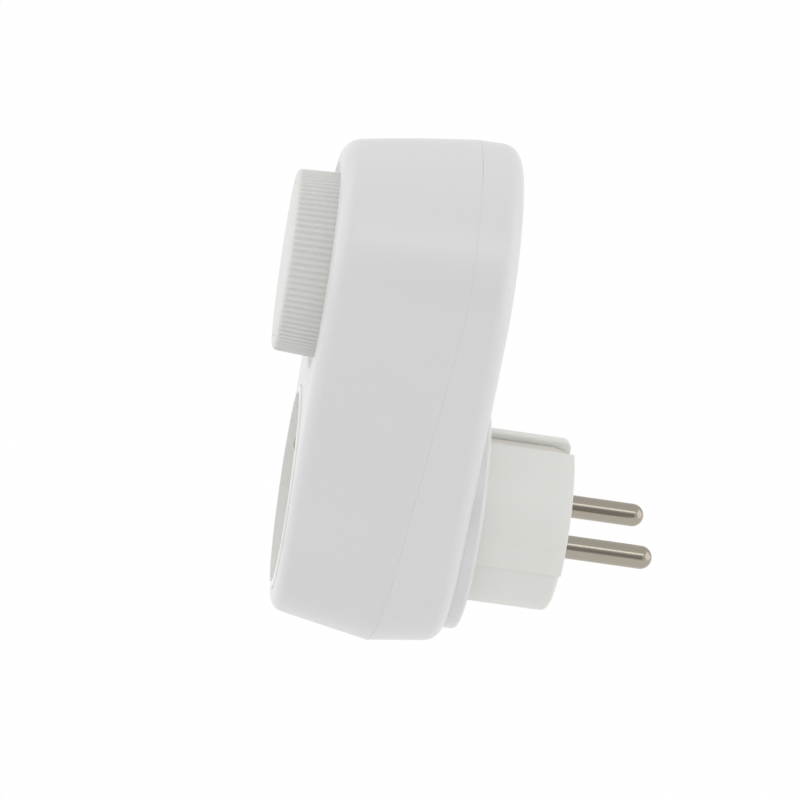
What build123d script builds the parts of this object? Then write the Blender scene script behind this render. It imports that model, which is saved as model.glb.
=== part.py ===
"""Plug-in rotary dimmer socket, as an assembly of separate pieces, in millimetres.

The origin is the centre of the plug's end face, on the plug's axis.
+Y points into the wall, +Z points up from the plug to the knob, +X is right seen from the front.
Depths are counted from the plug's end face towards the front, so depth d lies at Y = -d.
"""

import os
from math import asin, atan, cos, degrees, radians, sin, sqrt

from build123d import *

# Plug: a round hybrid plug with two channels for earth clips
plug_radius = 18.1
plug_length = 18.2
pin_radius = 2.4
pin_length = 19.0
pin_shank_radius = 2.1
pin_shoulder = 0.3
pin_gap = 0.03
pin_spacing = 19.0
clip_channel_width = 5.4
clip_channel_floor = 14.7
clip_radius = 16.4
clip_bend = 0.7
clip_width = 4.4
strip_thickness = 0.8
guide_band_width = 5.3
guide_band_rise = 0.25
set_back = 0.65
set_back_rim = 2.4
earth_offset = 10.0
earth_hole_radius = 2.6
earth_hole_wall = 3.0

# Housing: two tapered shells that meet at a leaning seam
disc_radius = 24.2
disc_height = 3.0
disc_rim = 1.0
body_depth = 35.5
axis_distance = 49.8
front_end_radius = 25.05
middle_top_radius = 27.3
middle_end_radius = 27.45
middle_share = 0.364
seam_top_radius = 29.2
seam_end_radius = 28.9
back_top_draft = 0.1
back_end_draft = 1.95
front_edge = 3.8
inner_edge = 1.2
back_edge = 3.8
wall = 2.2
seam_behind_top = 26.8
seam_behind_end = 20.4
seam_bend_height = 57.0
seam_bend_radius = 160.0
tongue_height = 1.6
tongue_thickness = 0.9
fit_gap = 0.15
slide_gap = 0.25

# Socket: recessed cup with an earth pin and two shuttered holes
recess_radius = 19.7
socket_radius = 21.0
socket_lip = 0.4
recess_depth = 14.9
skirt_flange = 0.9
contact_hole_radius = 2.7
socket_floor = 2.0
earth_pin_reach = 14.7
shutter_travel = 6.6
shutter_thickness = 2.0

# Knob
knob_base_radius = 18.55
knob_rim_radius = 18.1
knob_height = 7.95
knob_rim_band = 1.4
knob_rim_fillet = 1.3
knob_crown = 0.3
knob_cap_radius = 15.4
rib_count = 90
rib_crest_share = 0.3
rib_depth = 0.4
knob_wall = 2.0
ring_radius = 20.9
ring_depth = 0.8
shaft_radius = 3.0
shaft_flat = 1.5

# Control board behind the knob
board_thickness = 1.6
board_half_width = 19.0
board_drop = 25.2
board_rise = 23.6
pot_radius = 8.2
pot_body_depth = 8.0
switch_depth = 5.4
bushing_radius = 4.5
bushing_length = 4.6
nut_across_flats = 12.0
nut_thickness = 2.0
washer_thickness = 0.6

# Loose components on the board
film_width = 13.0
film_length = 18.0
film_height = 7.4
film_x = 9.2
film_drop = 7.3
timing_width = 4.0
timing_length = 10.0
timing_height = 7.5
timing_drop = 5.8
small_part_x = 13.1
fuse_drop = 20.4
fuse_half = 10.0
fuse_radius = 2.6
fuse_cap_length = 5.0
core_outer = 7.2
core_inner = 3.9
core_height = 5.0
choke_rise = 14.4

# Housing screws
screw_shank_radius = 1.5
screw_head_radius = 2.8
screw_head_height = 2.0
screw_seat_web = 2.2
screw_length = 10.0
boss_radius = 3.3
boss_reach = 9.0
upper_screw_x = 12.8
upper_screw_rise = 15.8
lower_screw_x = 19.2
lower_screw_drop = 16.8

# Depths worked out from the sizes above
back_depth = plug_length + disc_height
front_depth = back_depth + body_depth
middle_depth = front_depth - middle_share * body_depth
seam_top_depth = front_depth - seam_behind_top
seam_end_depth = front_depth - seam_behind_end
inner_front_depth = front_depth - wall
inner_back_depth = back_depth + wall
disc_inner_depth = plug_length + wall
flange_depth = disc_inner_depth + 1.6
lip_depth = front_depth + socket_lip
floor_depth = lip_depth - recess_depth
floor_back_depth = floor_depth - socket_floor
knob_base_depth = front_depth - ring_depth + 0.3
knob_rim_depth = front_depth + knob_height
board_depth = inner_front_depth - washer_thickness - pot_body_depth - switch_depth - board_thickness
carrier_depth = flange_depth + 3.2
carrier_thickness = 1.8


def at_depth(depth):
    """Plane facing the front, whose x and y are the object's X and Z."""
    return Plane.XZ.offset(depth)


def end_outline(plane, top_radius, bottom_radius):
    """Two arcs round the knob's and the socket's axis, joined by their common tangents."""
    lean = asin((bottom_radius - top_radius) / axis_distance)
    top_right = (top_radius * cos(lean), axis_distance + top_radius * sin(lean))
    bottom_right = (bottom_radius * cos(lean), bottom_radius * sin(lean))
    top_left = (-top_right[0], top_right[1])
    bottom_left = (-bottom_right[0], bottom_right[1])
    with BuildSketch(plane) as outline:
        with BuildLine():
            Line(bottom_right, top_right)
            ThreePointArc(top_right, (0, axis_distance + top_radius), top_left)
            Line(top_left, bottom_left)
            ThreePointArc(bottom_left, (0, -bottom_radius), bottom_right)
        make_face()
    return outline.sketch.face()


# The crease between the two tapers lies on a plane that leans like the seam
back_top_radius = seam_top_radius - back_top_draft
back_end_radius = seam_end_radius - back_end_draft
crease_height = axis_distance + seam_top_radius + seam_end_radius
crease_lean = atan((seam_end_depth - seam_top_depth) / crease_height)
crease_depth = seam_end_depth - seam_end_radius * sin(crease_lean) / cos(crease_lean)
crease_plane = Plane(
    origin=(0, -crease_depth, 0), x_dir=(1, 0, 0), z_dir=(0, -cos(crease_lean), sin(crease_lean))
)


def front_form(inset, edge):
    """The front half's outer form, drawn in by an inset, with its front edge rounded."""
    with BuildPart() as form:
        front = end_outline(at_depth(front_depth - inset), front_end_radius - inset, front_end_radius - inset)
        middle = end_outline(at_depth(middle_depth), middle_top_radius - inset, middle_end_radius - inset)
        crease = end_outline(crease_plane, seam_top_radius - inset, seam_end_radius - inset)
        loft([front, middle, crease])
        fillet(form.faces().sort_by(Axis.Y)[0].edges(), edge)
    return form.part


def back_form(inset, edge):
    """The back half's outer form, drawn in by an inset, with its back edge rounded."""
    with BuildPart() as form:
        crease = end_outline(crease_plane, seam_top_radius - inset, seam_end_radius - inset)
        back = end_outline(at_depth(back_depth + inset), back_top_radius - inset, back_end_radius - inset)
        loft([crease, back])
        fillet(form.faces().sort_by(Axis.Y)[-1].edges(), edge)
    return form.part


def behind_seam(offset):
    """Everything behind the seam surface, which is bent once and straight across."""
    end_slope = (seam_end_depth - seam_top_depth) / (seam_bend_height + seam_end_radius)
    reach = 2 * axis_distance
    low_y = -(seam_top_depth + end_slope * (seam_bend_height + reach)) - offset
    top_y = -seam_top_depth - offset
    with BuildPart() as region:
        with BuildSketch(Plane.YZ):
            with BuildLine():
                FilletPolyline(
                    (low_y, -reach), (top_y, seam_bend_height), (top_y, 2 * reach), radius=seam_bend_radius
                )
                Line((top_y, 2 * reach), (reach, 2 * reach))
                Line((reach, 2 * reach), (reach, -reach))
                Line((reach, -reach), (low_y, -reach))
            make_face()
        extrude(amount=2 * seam_top_radius, both=True)
    return region.part


outer_form = front_form(0, front_edge) + back_form(0, back_edge)
inner_form = front_form(wall, inner_edge) + back_form(wall, inner_edge)
tongue_inset = wall - tongue_thickness
tongue_form = front_form(tongue_inset, inner_edge) + back_form(tongue_inset, inner_edge)
upper_screw_z = axis_distance + upper_screw_rise
lower_screw_z = axis_distance - lower_screw_drop
screw_places = [
    (-upper_screw_x, upper_screw_z),
    (upper_screw_x, upper_screw_z),
    (-lower_screw_x, lower_screw_z),
    (lower_screw_x, lower_screw_z),
]
boss_end_depth = back_depth + wall + boss_reach

# Front shell, open at the seam, with the socket hole, the knob's ring recess and screw bosses
with BuildPart() as front_shell:
    add(outer_form)
    add(behind_seam(0), mode=Mode.SUBTRACT)
    add(inner_form, mode=Mode.SUBTRACT)
    add(tongue_form & behind_seam(tongue_height + fit_gap), mode=Mode.SUBTRACT)
    with BuildSketch(at_depth(boss_end_depth)):
        with Locations(*screw_places):
            Circle(boss_radius)
    extrude(amount=inner_front_depth + wall / 2 - boss_end_depth)
    with BuildSketch(at_depth(front_depth - ring_depth)):
        with Locations((0, axis_distance)):
            Circle(ring_radius)
    extrude(amount=2 * ring_depth, mode=Mode.SUBTRACT)
    with BuildSketch(at_depth(inner_front_depth - 1)):
        with Locations((0, axis_distance)):
            Circle(bushing_radius + fit_gap)
        Circle(socket_radius + fit_gap)
    extrude(amount=2 * wall, mode=Mode.SUBTRACT)
    with BuildSketch(at_depth(boss_end_depth)):
        with Locations(*screw_places):
            Circle(screw_shank_radius + 0.05)
    extrude(amount=screw_length - screw_seat_web + 1, mode=Mode.SUBTRACT)
front_shell.part.label = "front_shell"

# Rear shell, with the raised disc round the plug, the tongue and the screws' wells
screw_seat_depth = boss_end_depth - fit_gap - screw_seat_web
with BuildPart() as rear_shell:
    add(outer_form & behind_seam(0))
    add(inner_form, mode=Mode.SUBTRACT)
    with BuildSketch(at_depth(plug_length)):
        Circle(disc_radius)
    extrude(amount=disc_height + wall)
    fillet(rear_shell.faces().sort_by(Axis.Y)[-1].edges(), disc_rim)
    with BuildSketch(at_depth(disc_inner_depth)):
        Circle(disc_radius - wall)
    extrude(amount=disc_height + wall, mode=Mode.SUBTRACT)
    with BuildSketch(at_depth(plug_length - 1)):
        Circle(plug_radius + fit_gap)
    extrude(amount=2 * wall, mode=Mode.SUBTRACT)
    add((tongue_form - inner_form) & (behind_seam(tongue_height) - behind_seam(-wall)))
    with BuildSketch(at_depth(back_depth + wall / 2)):
        with Locations(*screw_places):
            Circle(boss_radius)
    extrude(amount=boss_end_depth - fit_gap - back_depth - wall / 2)
    with BuildSketch(at_depth(back_depth - 1)):
        with Locations(*screw_places):
            Circle(screw_head_radius + fit_gap)
    extrude(amount=screw_seat_depth - back_depth + 1, mode=Mode.SUBTRACT)
    with BuildSketch(at_depth(screw_seat_depth - 1)):
        with Locations(*screw_places):
            Circle(screw_shank_radius + fit_gap)
    extrude(amount=5, mode=Mode.SUBTRACT)
rear_shell.part.label = "rear_shell"

# Housing screws: pan heads deep in their wells
with BuildPart() as housing_screws:
    with BuildSketch(at_depth(screw_seat_depth)):
        with Locations(*screw_places):
            Circle(screw_head_radius)
    extrude(amount=-screw_head_height)
    fillet(housing_screws.faces().filter_by(Axis.Y).group_by(Axis.Y)[-1].edges(), 0.8)
    with BuildSketch(at_depth(screw_seat_depth)):
        with Locations(*screw_places):
            Circle(screw_shank_radius)
    extrude(amount=screw_length)
    chamfer(housing_screws.faces().filter_by(Axis.Y).group_by(Axis.Y)[0].edges(), 0.6)
    with BuildSketch(at_depth(screw_seat_depth - screw_head_height)):
        with Locations(*screw_places):
            Rectangle(2.8, 0.7)
            Rectangle(0.7, 2.8)
    extrude(amount=1.2, mode=Mode.SUBTRACT)
housing_screws.part.label = "housing_screws"

# Plug body: a core with two set-back quadrants, two full quadrants, a flange and clip channels
quadrant = 2 * plug_radius
with BuildPart() as full_quadrants:
    with BuildSketch(at_depth(0)):
        Circle(plug_radius)
        with Locations((quadrant / 2, -quadrant / 2 - guide_band_width / 2)):
            Rectangle(quadrant, quadrant, mode=Mode.SUBTRACT)
        with Locations((-quadrant / 2, quadrant / 2 + guide_band_width / 2)):
            Rectangle(quadrant, quadrant, mode=Mode.SUBTRACT)
    extrude(amount=disc_inner_depth)
    with BuildSketch(at_depth(0)):
        Circle(plug_radius + guide_band_rise)
        Rectangle(quadrant + 4, guide_band_width, mode=Mode.INTERSECT)
    extrude(amount=plug_length - fit_gap)

with BuildPart() as plug_body:
    with BuildSketch(at_depth(set_back)):
        Circle(plug_radius - guide_band_rise)
    extrude(amount=disc_inner_depth - set_back)
    fillet(plug_body.faces().sort_by(Axis.Y)[-1].edges(), set_back_rim)
    add(full_quadrants.part)
    with BuildSketch(at_depth(disc_inner_depth)):
        Circle(disc_radius - wall - 2 * fit_gap)
    extrude(amount=flange_depth - disc_inner_depth)
    with BuildSketch(at_depth(-1)):
        with Locations((0, plug_radius), (0, -plug_radius)):
            Rectangle(clip_channel_width, 2 * (plug_radius - clip_channel_floor))
    extrude(amount=plug_length + 1, mode=Mode.SUBTRACT)
    with BuildSketch(at_depth(plug_length - 1)):
        with Locations((0, clip_radius - 0.5), (0, 0.5 - clip_radius)):
            Rectangle(clip_width + 2 * fit_gap, 2.2)
    extrude(amount=flange_depth, mode=Mode.SUBTRACT)
    with BuildSketch(at_depth(-1)):
        with Locations((-pin_spacing / 2, 0), (pin_spacing / 2, 0)):
            Circle(pin_shank_radius + pin_gap)
        with Locations((0, earth_offset)):
            Circle(earth_hole_radius)
    extrude(amount=flange_depth + 2, mode=Mode.SUBTRACT)
    with BuildSketch(at_depth(earth_hole_wall)):
        with Locations((0, earth_offset)):
            Circle(earth_hole_radius + 1.3)
    extrude(amount=flange_depth, mode=Mode.SUBTRACT)
plug_body.part.label = "plug_body"


def plug_pin(side):
    """Solid pin with a round tip, a thinner shank in the plug, and a lug brazed to its inner end."""
    with BuildPart() as pin:
        with BuildSketch(at_depth(pin_radius - pin_length)):
            with Locations((side * pin_spacing / 2, 0)):
                Circle(pin_radius)
        extrude(amount=pin_length - pin_radius - pin_shoulder)
        with BuildSketch(at_depth(-pin_shoulder)):
            with Locations((side * pin_spacing / 2, 0)):
                Circle(pin_shank_radius)
        extrude(amount=flange_depth + pin_shoulder)
        with Locations((side * pin_spacing / 2, pin_length - pin_radius, 0)):
            Sphere(pin_radius)
        with BuildSketch(at_depth(flange_depth)):
            with Locations((side * pin_spacing / 2, -2.5)):
                RectangleRounded(4.4, 10.4, 1.5)
        extrude(amount=strip_thickness)
    return pin.part


plug_pin_live = plug_pin(-1)
plug_pin_live.label = "plug_pin_live"
plug_pin_neutral = plug_pin(1)
plug_pin_neutral.label = "plug_pin_neutral"

# Earth strap: joins both clips, the earth socket contact and the socket's earth pin
strap_depth = carrier_depth - 0.4 - strip_thickness
with BuildPart() as earth_strap:
    with BuildSketch(at_depth(strap_depth)):
        Rectangle(clip_width, 2 * clip_radius)
        with Locations((0, earth_offset)):
            Circle(4.2)
            Circle(pin_radius - 0.6, mode=Mode.SUBTRACT)
    extrude(amount=strip_thickness)
earth_strap.part.label = "earth_strap"


def earth_clip(side):
    """Spring strip along the plug's channel, bent over at its outer end."""
    outer = clip_radius
    inner = clip_radius - strip_thickness
    with BuildPart() as clip:
        with BuildSketch(Plane.YZ):
            with BuildLine():
                FilletPolyline(
                    (-strap_depth, side * inner),
                    (-strap_depth, side * outer),
                    (-3.6, side * outer),
                    (-0.9, side * (outer - clip_bend)),
                    (-0.9, side * (inner - clip_bend)),
                    (-3.8, side * inner),
                    radius=0.05,
                    close=True,
                )
            make_face()
        extrude(amount=clip_width / 2, both=True)
    return clip.part


earth_clip_upper = earth_clip(1)
earth_clip_upper.label = "earth_clip_upper"
earth_clip_lower = earth_clip(-1)
earth_clip_lower.label = "earth_clip_lower"

# Earth socket contact: a split sleeve that grips the earth pin of a wall socket
contact_bore = pin_radius + 0.06
with BuildPart() as plug_earth_contact:
    with BuildSketch(at_depth(earth_hole_wall + 0.6)):
        with Locations((0, earth_offset)):
            Circle(earth_hole_radius + 1.2)
            Circle(contact_bore + 0.3, mode=Mode.SUBTRACT)
    extrude(amount=strap_depth - earth_hole_wall - 0.6)
    with BuildSketch(at_depth(earth_hole_wall)):
        with Locations((0, earth_offset)):
            Rectangle(0.8, 12)
    extrude(amount=11, mode=Mode.SUBTRACT)
plug_earth_contact.part.label = "plug_earth_contact"

# Socket insert: smooth ring that lines the recess, held behind the front wall by its flange
with BuildPart() as socket_insert:
    with BuildSketch(at_depth(floor_depth)):
        Circle(socket_radius)
    extrude(amount=lip_depth - floor_depth)
    fillet(socket_insert.faces().sort_by(Axis.Y)[0].edges(), 0.5)
    with BuildSketch(at_depth(inner_front_depth - fit_gap)):
        Circle(socket_radius + skirt_flange)
    extrude(amount=-1.4)
    with BuildSketch(at_depth(floor_depth - 1)):
        Circle(recess_radius)
    extrude(amount=recess_depth + 2, mode=Mode.SUBTRACT)
socket_insert.part.label = "socket_insert"

# Contact housing: the recess floor with its holes, and a skirt behind it with the shutter's guides
skirt_end_depth = flange_depth + fit_gap
shutter_top = contact_hole_radius + 0.9
shutter_bottom = -contact_hole_radius - 2.6
guide_x = 15.0
guide_top = shutter_top + 0.9
guide_bottom = shutter_bottom - shutter_travel - 0.6
shutter_half_width = guide_x - slide_gap
window_half_width = 15.6
window_bottom = 12.0
window_front_depth = floor_back_depth - 7
spring_radius = 1.75
spring_wire = 0.22
spring_peg = 3.0
spring_depth = floor_back_depth - 0.3 - spring_radius - spring_wire
with BuildPart() as contact_housing:
    with BuildSketch(at_depth(skirt_end_depth)):
        Circle(socket_radius)
    extrude(amount=floor_depth - skirt_end_depth)
    with BuildSketch(at_depth(skirt_end_depth)):
        Circle(recess_radius)
    extrude(amount=floor_back_depth - skirt_end_depth, mode=Mode.SUBTRACT)
    with BuildSketch(at_depth(floor_back_depth)):
        Circle(recess_radius + 0.4)
        with Locations((0, (guide_top + guide_bottom) / 2)):
            Rectangle(2 * socket_radius, guide_top - guide_bottom, mode=Mode.INTERSECT)
        Rectangle(2 * guide_x, 2 * socket_radius, mode=Mode.SUBTRACT)
    extrude(amount=-(shutter_thickness + 0.4))
    with BuildSketch(at_depth(floor_back_depth - 1)):
        with Locations((-pin_spacing / 2, 0), (pin_spacing / 2, 0)):
            Circle(contact_hole_radius)
        with Locations((0, earth_offset)):
            Circle(pin_shank_radius + pin_gap)
    extrude(amount=socket_floor + 2, mode=Mode.SUBTRACT)
    with BuildSketch(at_depth(skirt_end_depth - 1)):
        with Locations((0, socket_radius)):
            Rectangle(2 * window_half_width, 2 * (socket_radius - window_bottom))
    extrude(amount=window_front_depth - skirt_end_depth + 1, mode=Mode.SUBTRACT)
    with BuildSketch(Plane.XY.offset(-recess_radius - 0.4)):
        with Locations((0, -spring_depth)):
            Circle(1.0)
    extrude(amount=spring_peg + 0.4)
contact_housing.part.label = "contact_housing"

# Earth pin of the socket: its shank goes through the floor and the carrier to the strap
earth_tip_depth = floor_depth + earth_pin_reach
with BuildPart() as socket_earth_pin:
    with BuildSketch(at_depth(strap_depth + strip_thickness)):
        with Locations((0, earth_offset)):
            Circle(pin_shank_radius)
    extrude(amount=floor_depth + pin_shoulder - strap_depth - strip_thickness)
    with BuildSketch(at_depth(floor_depth + pin_shoulder)):
        with Locations((0, earth_offset)):
            Circle(pin_radius)
    extrude(amount=earth_pin_reach - pin_radius - pin_shoulder)
    with Locations((0, pin_radius - earth_tip_depth, earth_offset)):
        Sphere(pin_radius)
    with BuildSketch(at_depth(strap_depth)):
        with Locations((0, earth_offset)):
            Circle(pin_radius - 0.65)
    extrude(amount=strip_thickness)
socket_earth_pin.part.label = "socket_earth_pin"

# Shutter: one slider that covers both contact holes and is pushed down by the plug's pins
ramp_height = 4.6
shutter_depth = floor_back_depth - slide_gap
shutter_back_depth = shutter_depth - shutter_thickness
with BuildPart() as shutter:
    with BuildSketch(Plane.YZ):
        with BuildLine():
            Polyline(
                (-shutter_depth, shutter_bottom),
                (-shutter_depth, shutter_top - ramp_height),
                (-shutter_back_depth - 0.5, shutter_top),
                (-shutter_back_depth, shutter_top),
                (-shutter_back_depth, shutter_bottom),
                close=True,
            )
        make_face()
    extrude(amount=shutter_half_width, both=True)
    with BuildSketch(at_depth(shutter_back_depth - 1)):
        with Locations((0, shutter_top)):
            Rectangle(pin_spacing - 2 * contact_hole_radius - 2, 3.2)
    extrude(amount=shutter_thickness + 2, mode=Mode.SUBTRACT)
    with BuildSketch(Plane.XY.offset(shutter_bottom)):
        with Locations((0, -spring_depth)):
            Rectangle(5, 2 * (spring_radius + spring_wire))
    extrude(amount=2)
    with BuildSketch(Plane.XY.offset(shutter_bottom)):
        with Locations((0, -spring_depth)):
            Circle(0.9)
    extrude(amount=-1.5)
shutter.part.label = "shutter"

# Return spring under the shutter, standing on its peg
spring_seat_z = -recess_radius + 0.3
spring_length = shutter_bottom - spring_seat_z - 0.05
spring_turns = 8
with BuildPart() as shutter_spring:
    with BuildLine():
        spring_line = Helix(
            pitch=(spring_length - 2 * spring_wire) / spring_turns,
            height=spring_length - 2 * spring_wire,
            radius=spring_radius,
            center=(0, -spring_depth, spring_seat_z + spring_wire),
        )
    with BuildSketch(Plane(origin=spring_line @ 0, z_dir=spring_line % 0)):
        RegularPolygon(spring_wire, 6)
    sweep(is_frenet=True)
shutter_spring.part.label = "shutter_spring"

# Contact carrier: closes the back of the socket insert and holds the contacts
rail_z = (guide_top + guide_bottom) / 2 + 0.5
with BuildPart() as contact_carrier:
    with BuildSketch(at_depth(carrier_depth)):
        Circle(recess_radius - fit_gap)
    extrude(amount=carrier_thickness)
    with BuildSketch(at_depth(carrier_depth)):
        with Locations((guide_x + 0.25, rail_z), (-guide_x - 0.25, rail_z)):
            Rectangle(2.3, guide_top - guide_bottom - 3)
    extrude(amount=shutter_back_depth - slide_gap - carrier_depth)
    with BuildSketch(at_depth(carrier_depth - 1)):
        with Locations((-pin_spacing / 2, 0), (pin_spacing / 2, 0)):
            Circle(contact_hole_radius + 0.2)
        with Locations((0, earth_offset)):
            Circle(pin_shank_radius + pin_gap)
        with Locations((-pin_spacing / 2, -7), (pin_spacing / 2, -7)):
            Rectangle(3.4, strip_thickness + 0.2)
        with Locations((-pin_spacing / 2, recess_radius), (pin_spacing / 2, recess_radius)):
            Rectangle(12, 2 * (recess_radius - window_bottom))
    extrude(amount=carrier_thickness + 2, mode=Mode.SUBTRACT)
contact_carrier.part.label = "contact_carrier"


def socket_contact(side):
    """Base plate round the pin's path, two spring leaves, and a tail through the carrier."""
    base_depth = carrier_depth + carrier_thickness
    leaf_gap = pin_radius - 0.25
    centre = side * pin_spacing / 2
    with BuildPart() as contact:
        with BuildSketch(at_depth(base_depth)):
            with Locations((centre, -1.5)):
                Rectangle(8.4, 12)
            with Locations((centre, 0)):
                Circle(contact_hole_radius + 0.2, mode=Mode.SUBTRACT)
        extrude(amount=strip_thickness)
        with BuildSketch(Plane.XY.offset(-2.2)):
            for leaf in (-1, 1):
                with BuildLine():
                    Polyline(
                        (centre + leaf * 4.2, -base_depth),
                        (centre + leaf * 4.2, -base_depth - 3),
                        (centre + leaf * (leaf_gap + 0.5), -base_depth - 6.4),
                        (centre + leaf * 4.0, -base_depth - 8.6),
                        (centre + leaf * 3.4, -base_depth - 9.0),
                        (centre + leaf * leaf_gap, -base_depth - 6.4),
                        (centre + leaf * 3.6, -base_depth - 2.8),
                        (centre + leaf * 3.6, -base_depth),
                        close=True,
                    )
                make_face()
        extrude(amount=4.4)
        with BuildSketch(at_depth(carrier_depth - 1.6)):
            with Locations((centre, -7)):
                Rectangle(3.0, strip_thickness)
        extrude(amount=carrier_thickness + 1.6)
    return contact.part


live_contact = socket_contact(-1)
live_contact.label = "live_contact"
neutral_contact = socket_contact(1)
neutral_contact.label = "neutral_contact"


def ribbed_outline(depth, radius):
    """Closed outline with rib_count ribs, each with a flat crest, and V grooves between them."""
    pitch = 2 * 180 / rib_count
    points = []
    for rib in range(rib_count):
        for share, reach in ((-rib_crest_share / 2, 0), (rib_crest_share / 2, 0), (0.5, rib_depth)):
            angle = radians((rib + share) * pitch)
            points.append(((radius - reach) * sin(angle), axis_distance + (radius - reach) * cos(angle)))
    with BuildSketch(at_depth(depth)) as outline:
        with BuildLine():
            Polyline(*points, close=True)
        make_face()
    return outline.sketch.face()


# Knob: ribbed skirt, smooth rim, and a hub for the flatted shaft
knob_ribs_end = knob_rim_depth - knob_rim_band
ribs_end_share = (knob_ribs_end - knob_base_depth) / (knob_rim_depth - knob_base_depth)
ribs_end_radius = knob_base_radius + (knob_rim_radius - knob_base_radius) * ribs_end_share
knob_inner_depth = knob_rim_depth - knob_wall
hub_radius = 5.6
cap_seat = 0.8
shaft_end_depth = knob_inner_depth - 0.3
hub_end_depth = front_depth + 2.6
with BuildPart() as knob:
    loft(
        [ribbed_outline(knob_base_depth, knob_base_radius), ribbed_outline(knob_ribs_end, ribs_end_radius)],
        ruled=True,
    )
    with BuildSketch(Plane.YZ):
        with BuildLine():
            Polyline(
                (-knob_ribs_end, axis_distance),
                (-knob_ribs_end, axis_distance + ribs_end_radius),
                (-knob_rim_depth, axis_distance + knob_rim_radius),
                (-knob_rim_depth, axis_distance),
                close=True,
            )
        make_face()
    revolve(axis=Axis((0, 0, axis_distance), (0, 1, 0)))
    fillet(knob.faces().sort_by(Axis.Y)[0].edges(), knob_rim_fillet)
    with BuildSketch(at_depth(knob_base_depth - 1)):
        with Locations((0, axis_distance)):
            Circle(knob_rim_radius - knob_wall)
    extrude(amount=knob_inner_depth - knob_base_depth + 1, mode=Mode.SUBTRACT)
    with BuildSketch(at_depth(hub_end_depth)):
        with Locations((0, axis_distance)):
            Circle(hub_radius)
    extrude(amount=knob_inner_depth - hub_end_depth)
    with BuildSketch(at_depth(hub_end_depth - 1)):
        with Locations((0, axis_distance)):
            Circle(shaft_radius + 0.05)
        with Locations((0, axis_distance + shaft_radius - shaft_flat + 0.05 + shaft_radius)):
            Rectangle(2 * shaft_radius + 1, 2 * shaft_radius, mode=Mode.SUBTRACT)
    extrude(amount=shaft_end_depth + 0.1 - hub_end_depth + 1, mode=Mode.SUBTRACT)
    with BuildSketch(at_depth(knob_rim_depth - cap_seat)):
        with Locations((0, axis_distance)):
            Circle(knob_cap_radius + fit_gap)
    extrude(amount=2 * cap_seat, mode=Mode.SUBTRACT)
knob.part.label = "knob"

# Cap set in the knob's front, with a very low crown
crown_sphere = (knob_cap_radius**2 + knob_crown**2) / (2 * knob_crown)
with BuildPart() as knob_face:
    with BuildSketch(Plane.YZ):
        with BuildLine():
            foot = (-knob_rim_depth, axis_distance + knob_cap_radius)
            apex = (-knob_rim_depth - knob_crown, axis_distance)
            half_angle = asin(knob_cap_radius / crown_sphere) / 2
            centre_y = -knob_rim_depth - knob_crown + crown_sphere
            on_crown = (
                centre_y - crown_sphere * cos(half_angle),
                axis_distance + crown_sphere * sin(half_angle),
            )
            ThreePointArc(foot, on_crown, apex)
            Line(apex, (-knob_rim_depth + cap_seat, axis_distance))
            Line((-knob_rim_depth + cap_seat, axis_distance), (foot[0] + cap_seat, foot[1]))
            Line((foot[0] + cap_seat, foot[1]), foot)
        make_face()
    revolve(axis=Axis((0, 0, axis_distance), (0, 1, 0)))
knob_face.part.label = "knob_face"

# Potentiometer: front plate with threaded bushing, can, switch deck, rotor and shaft
pot_front_depth = inner_front_depth - washer_thickness
pot_back_depth = pot_front_depth - pot_body_depth
plate_thickness = 1.2
with BuildPart() as pot_bushing:
    with BuildSketch(at_depth(pot_front_depth - plate_thickness)):
        with Locations((0, axis_distance)):
            Circle(pot_radius)
    extrude(amount=plate_thickness)
    with BuildSketch(at_depth(pot_front_depth)):
        with Locations((0, axis_distance)):
            Circle(bushing_radius)
    extrude(amount=bushing_length)
    with BuildSketch(at_depth(pot_front_depth - plate_thickness)):
        with Locations((0, axis_distance)):
            Circle(shaft_radius + 0.05)
    extrude(amount=bushing_length + plate_thickness, mode=Mode.SUBTRACT)
pot_bushing.part.label = "potentiometer_bushing"

with BuildPart() as pot_can:
    with BuildSketch(at_depth(pot_back_depth)):
        with Locations((0, axis_distance)):
            Circle(pot_radius)
        with Locations((0, axis_distance - pot_radius)):
            Rectangle(12, 4)
    extrude(amount=pot_body_depth - plate_thickness)
    with BuildSketch(at_depth(pot_back_depth + 1)):
        with Locations((0, axis_distance)):
            Circle(pot_radius - 0.9)
    extrude(amount=pot_body_depth, mode=Mode.SUBTRACT)
pot_can.part.label = "potentiometer_can"

with BuildPart() as pot_switch:
    with BuildSketch(at_depth(pot_back_depth - switch_depth)):
        with Locations((0, axis_distance)):
            Circle(pot_radius - 0.4)
        with Locations((0, axis_distance + 3)):
            Rectangle(13, 9)
    extrude(amount=switch_depth)
pot_switch.part.label = "mains_switch"

with BuildPart() as pot_shaft:
    with BuildSketch(at_depth(pot_back_depth + 1.6)):
        with Locations((0, axis_distance)):
            Circle(pot_radius - 1.4)
    extrude(amount=1.6)
    with BuildSketch(at_depth(pot_back_depth + 3.2)):
        with Locations((0, axis_distance)):
            Circle(shaft_radius)
    extrude(amount=shaft_end_depth - pot_back_depth - 3.2)
    chamfer(pot_shaft.faces().sort_by(Axis.Y)[0].edges(), 0.5)
    with BuildSketch(at_depth(pot_front_depth + bushing_length + 0.4)):
        with Locations((0, axis_distance + shaft_radius - shaft_flat + shaft_radius)):
            Rectangle(2 * shaft_radius + 1, 2 * shaft_radius)
    extrude(amount=knob_height, mode=Mode.SUBTRACT)
pot_shaft.part.label = "potentiometer_shaft"

with BuildPart() as pot_washer:
    with BuildSketch(at_depth(pot_front_depth)):
        with Locations((0, axis_distance)):
            Circle(bushing_radius + 3)
            Circle(bushing_radius + 0.05, mode=Mode.SUBTRACT)
    extrude(amount=washer_thickness)
pot_washer.part.label = "potentiometer_washer"

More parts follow.
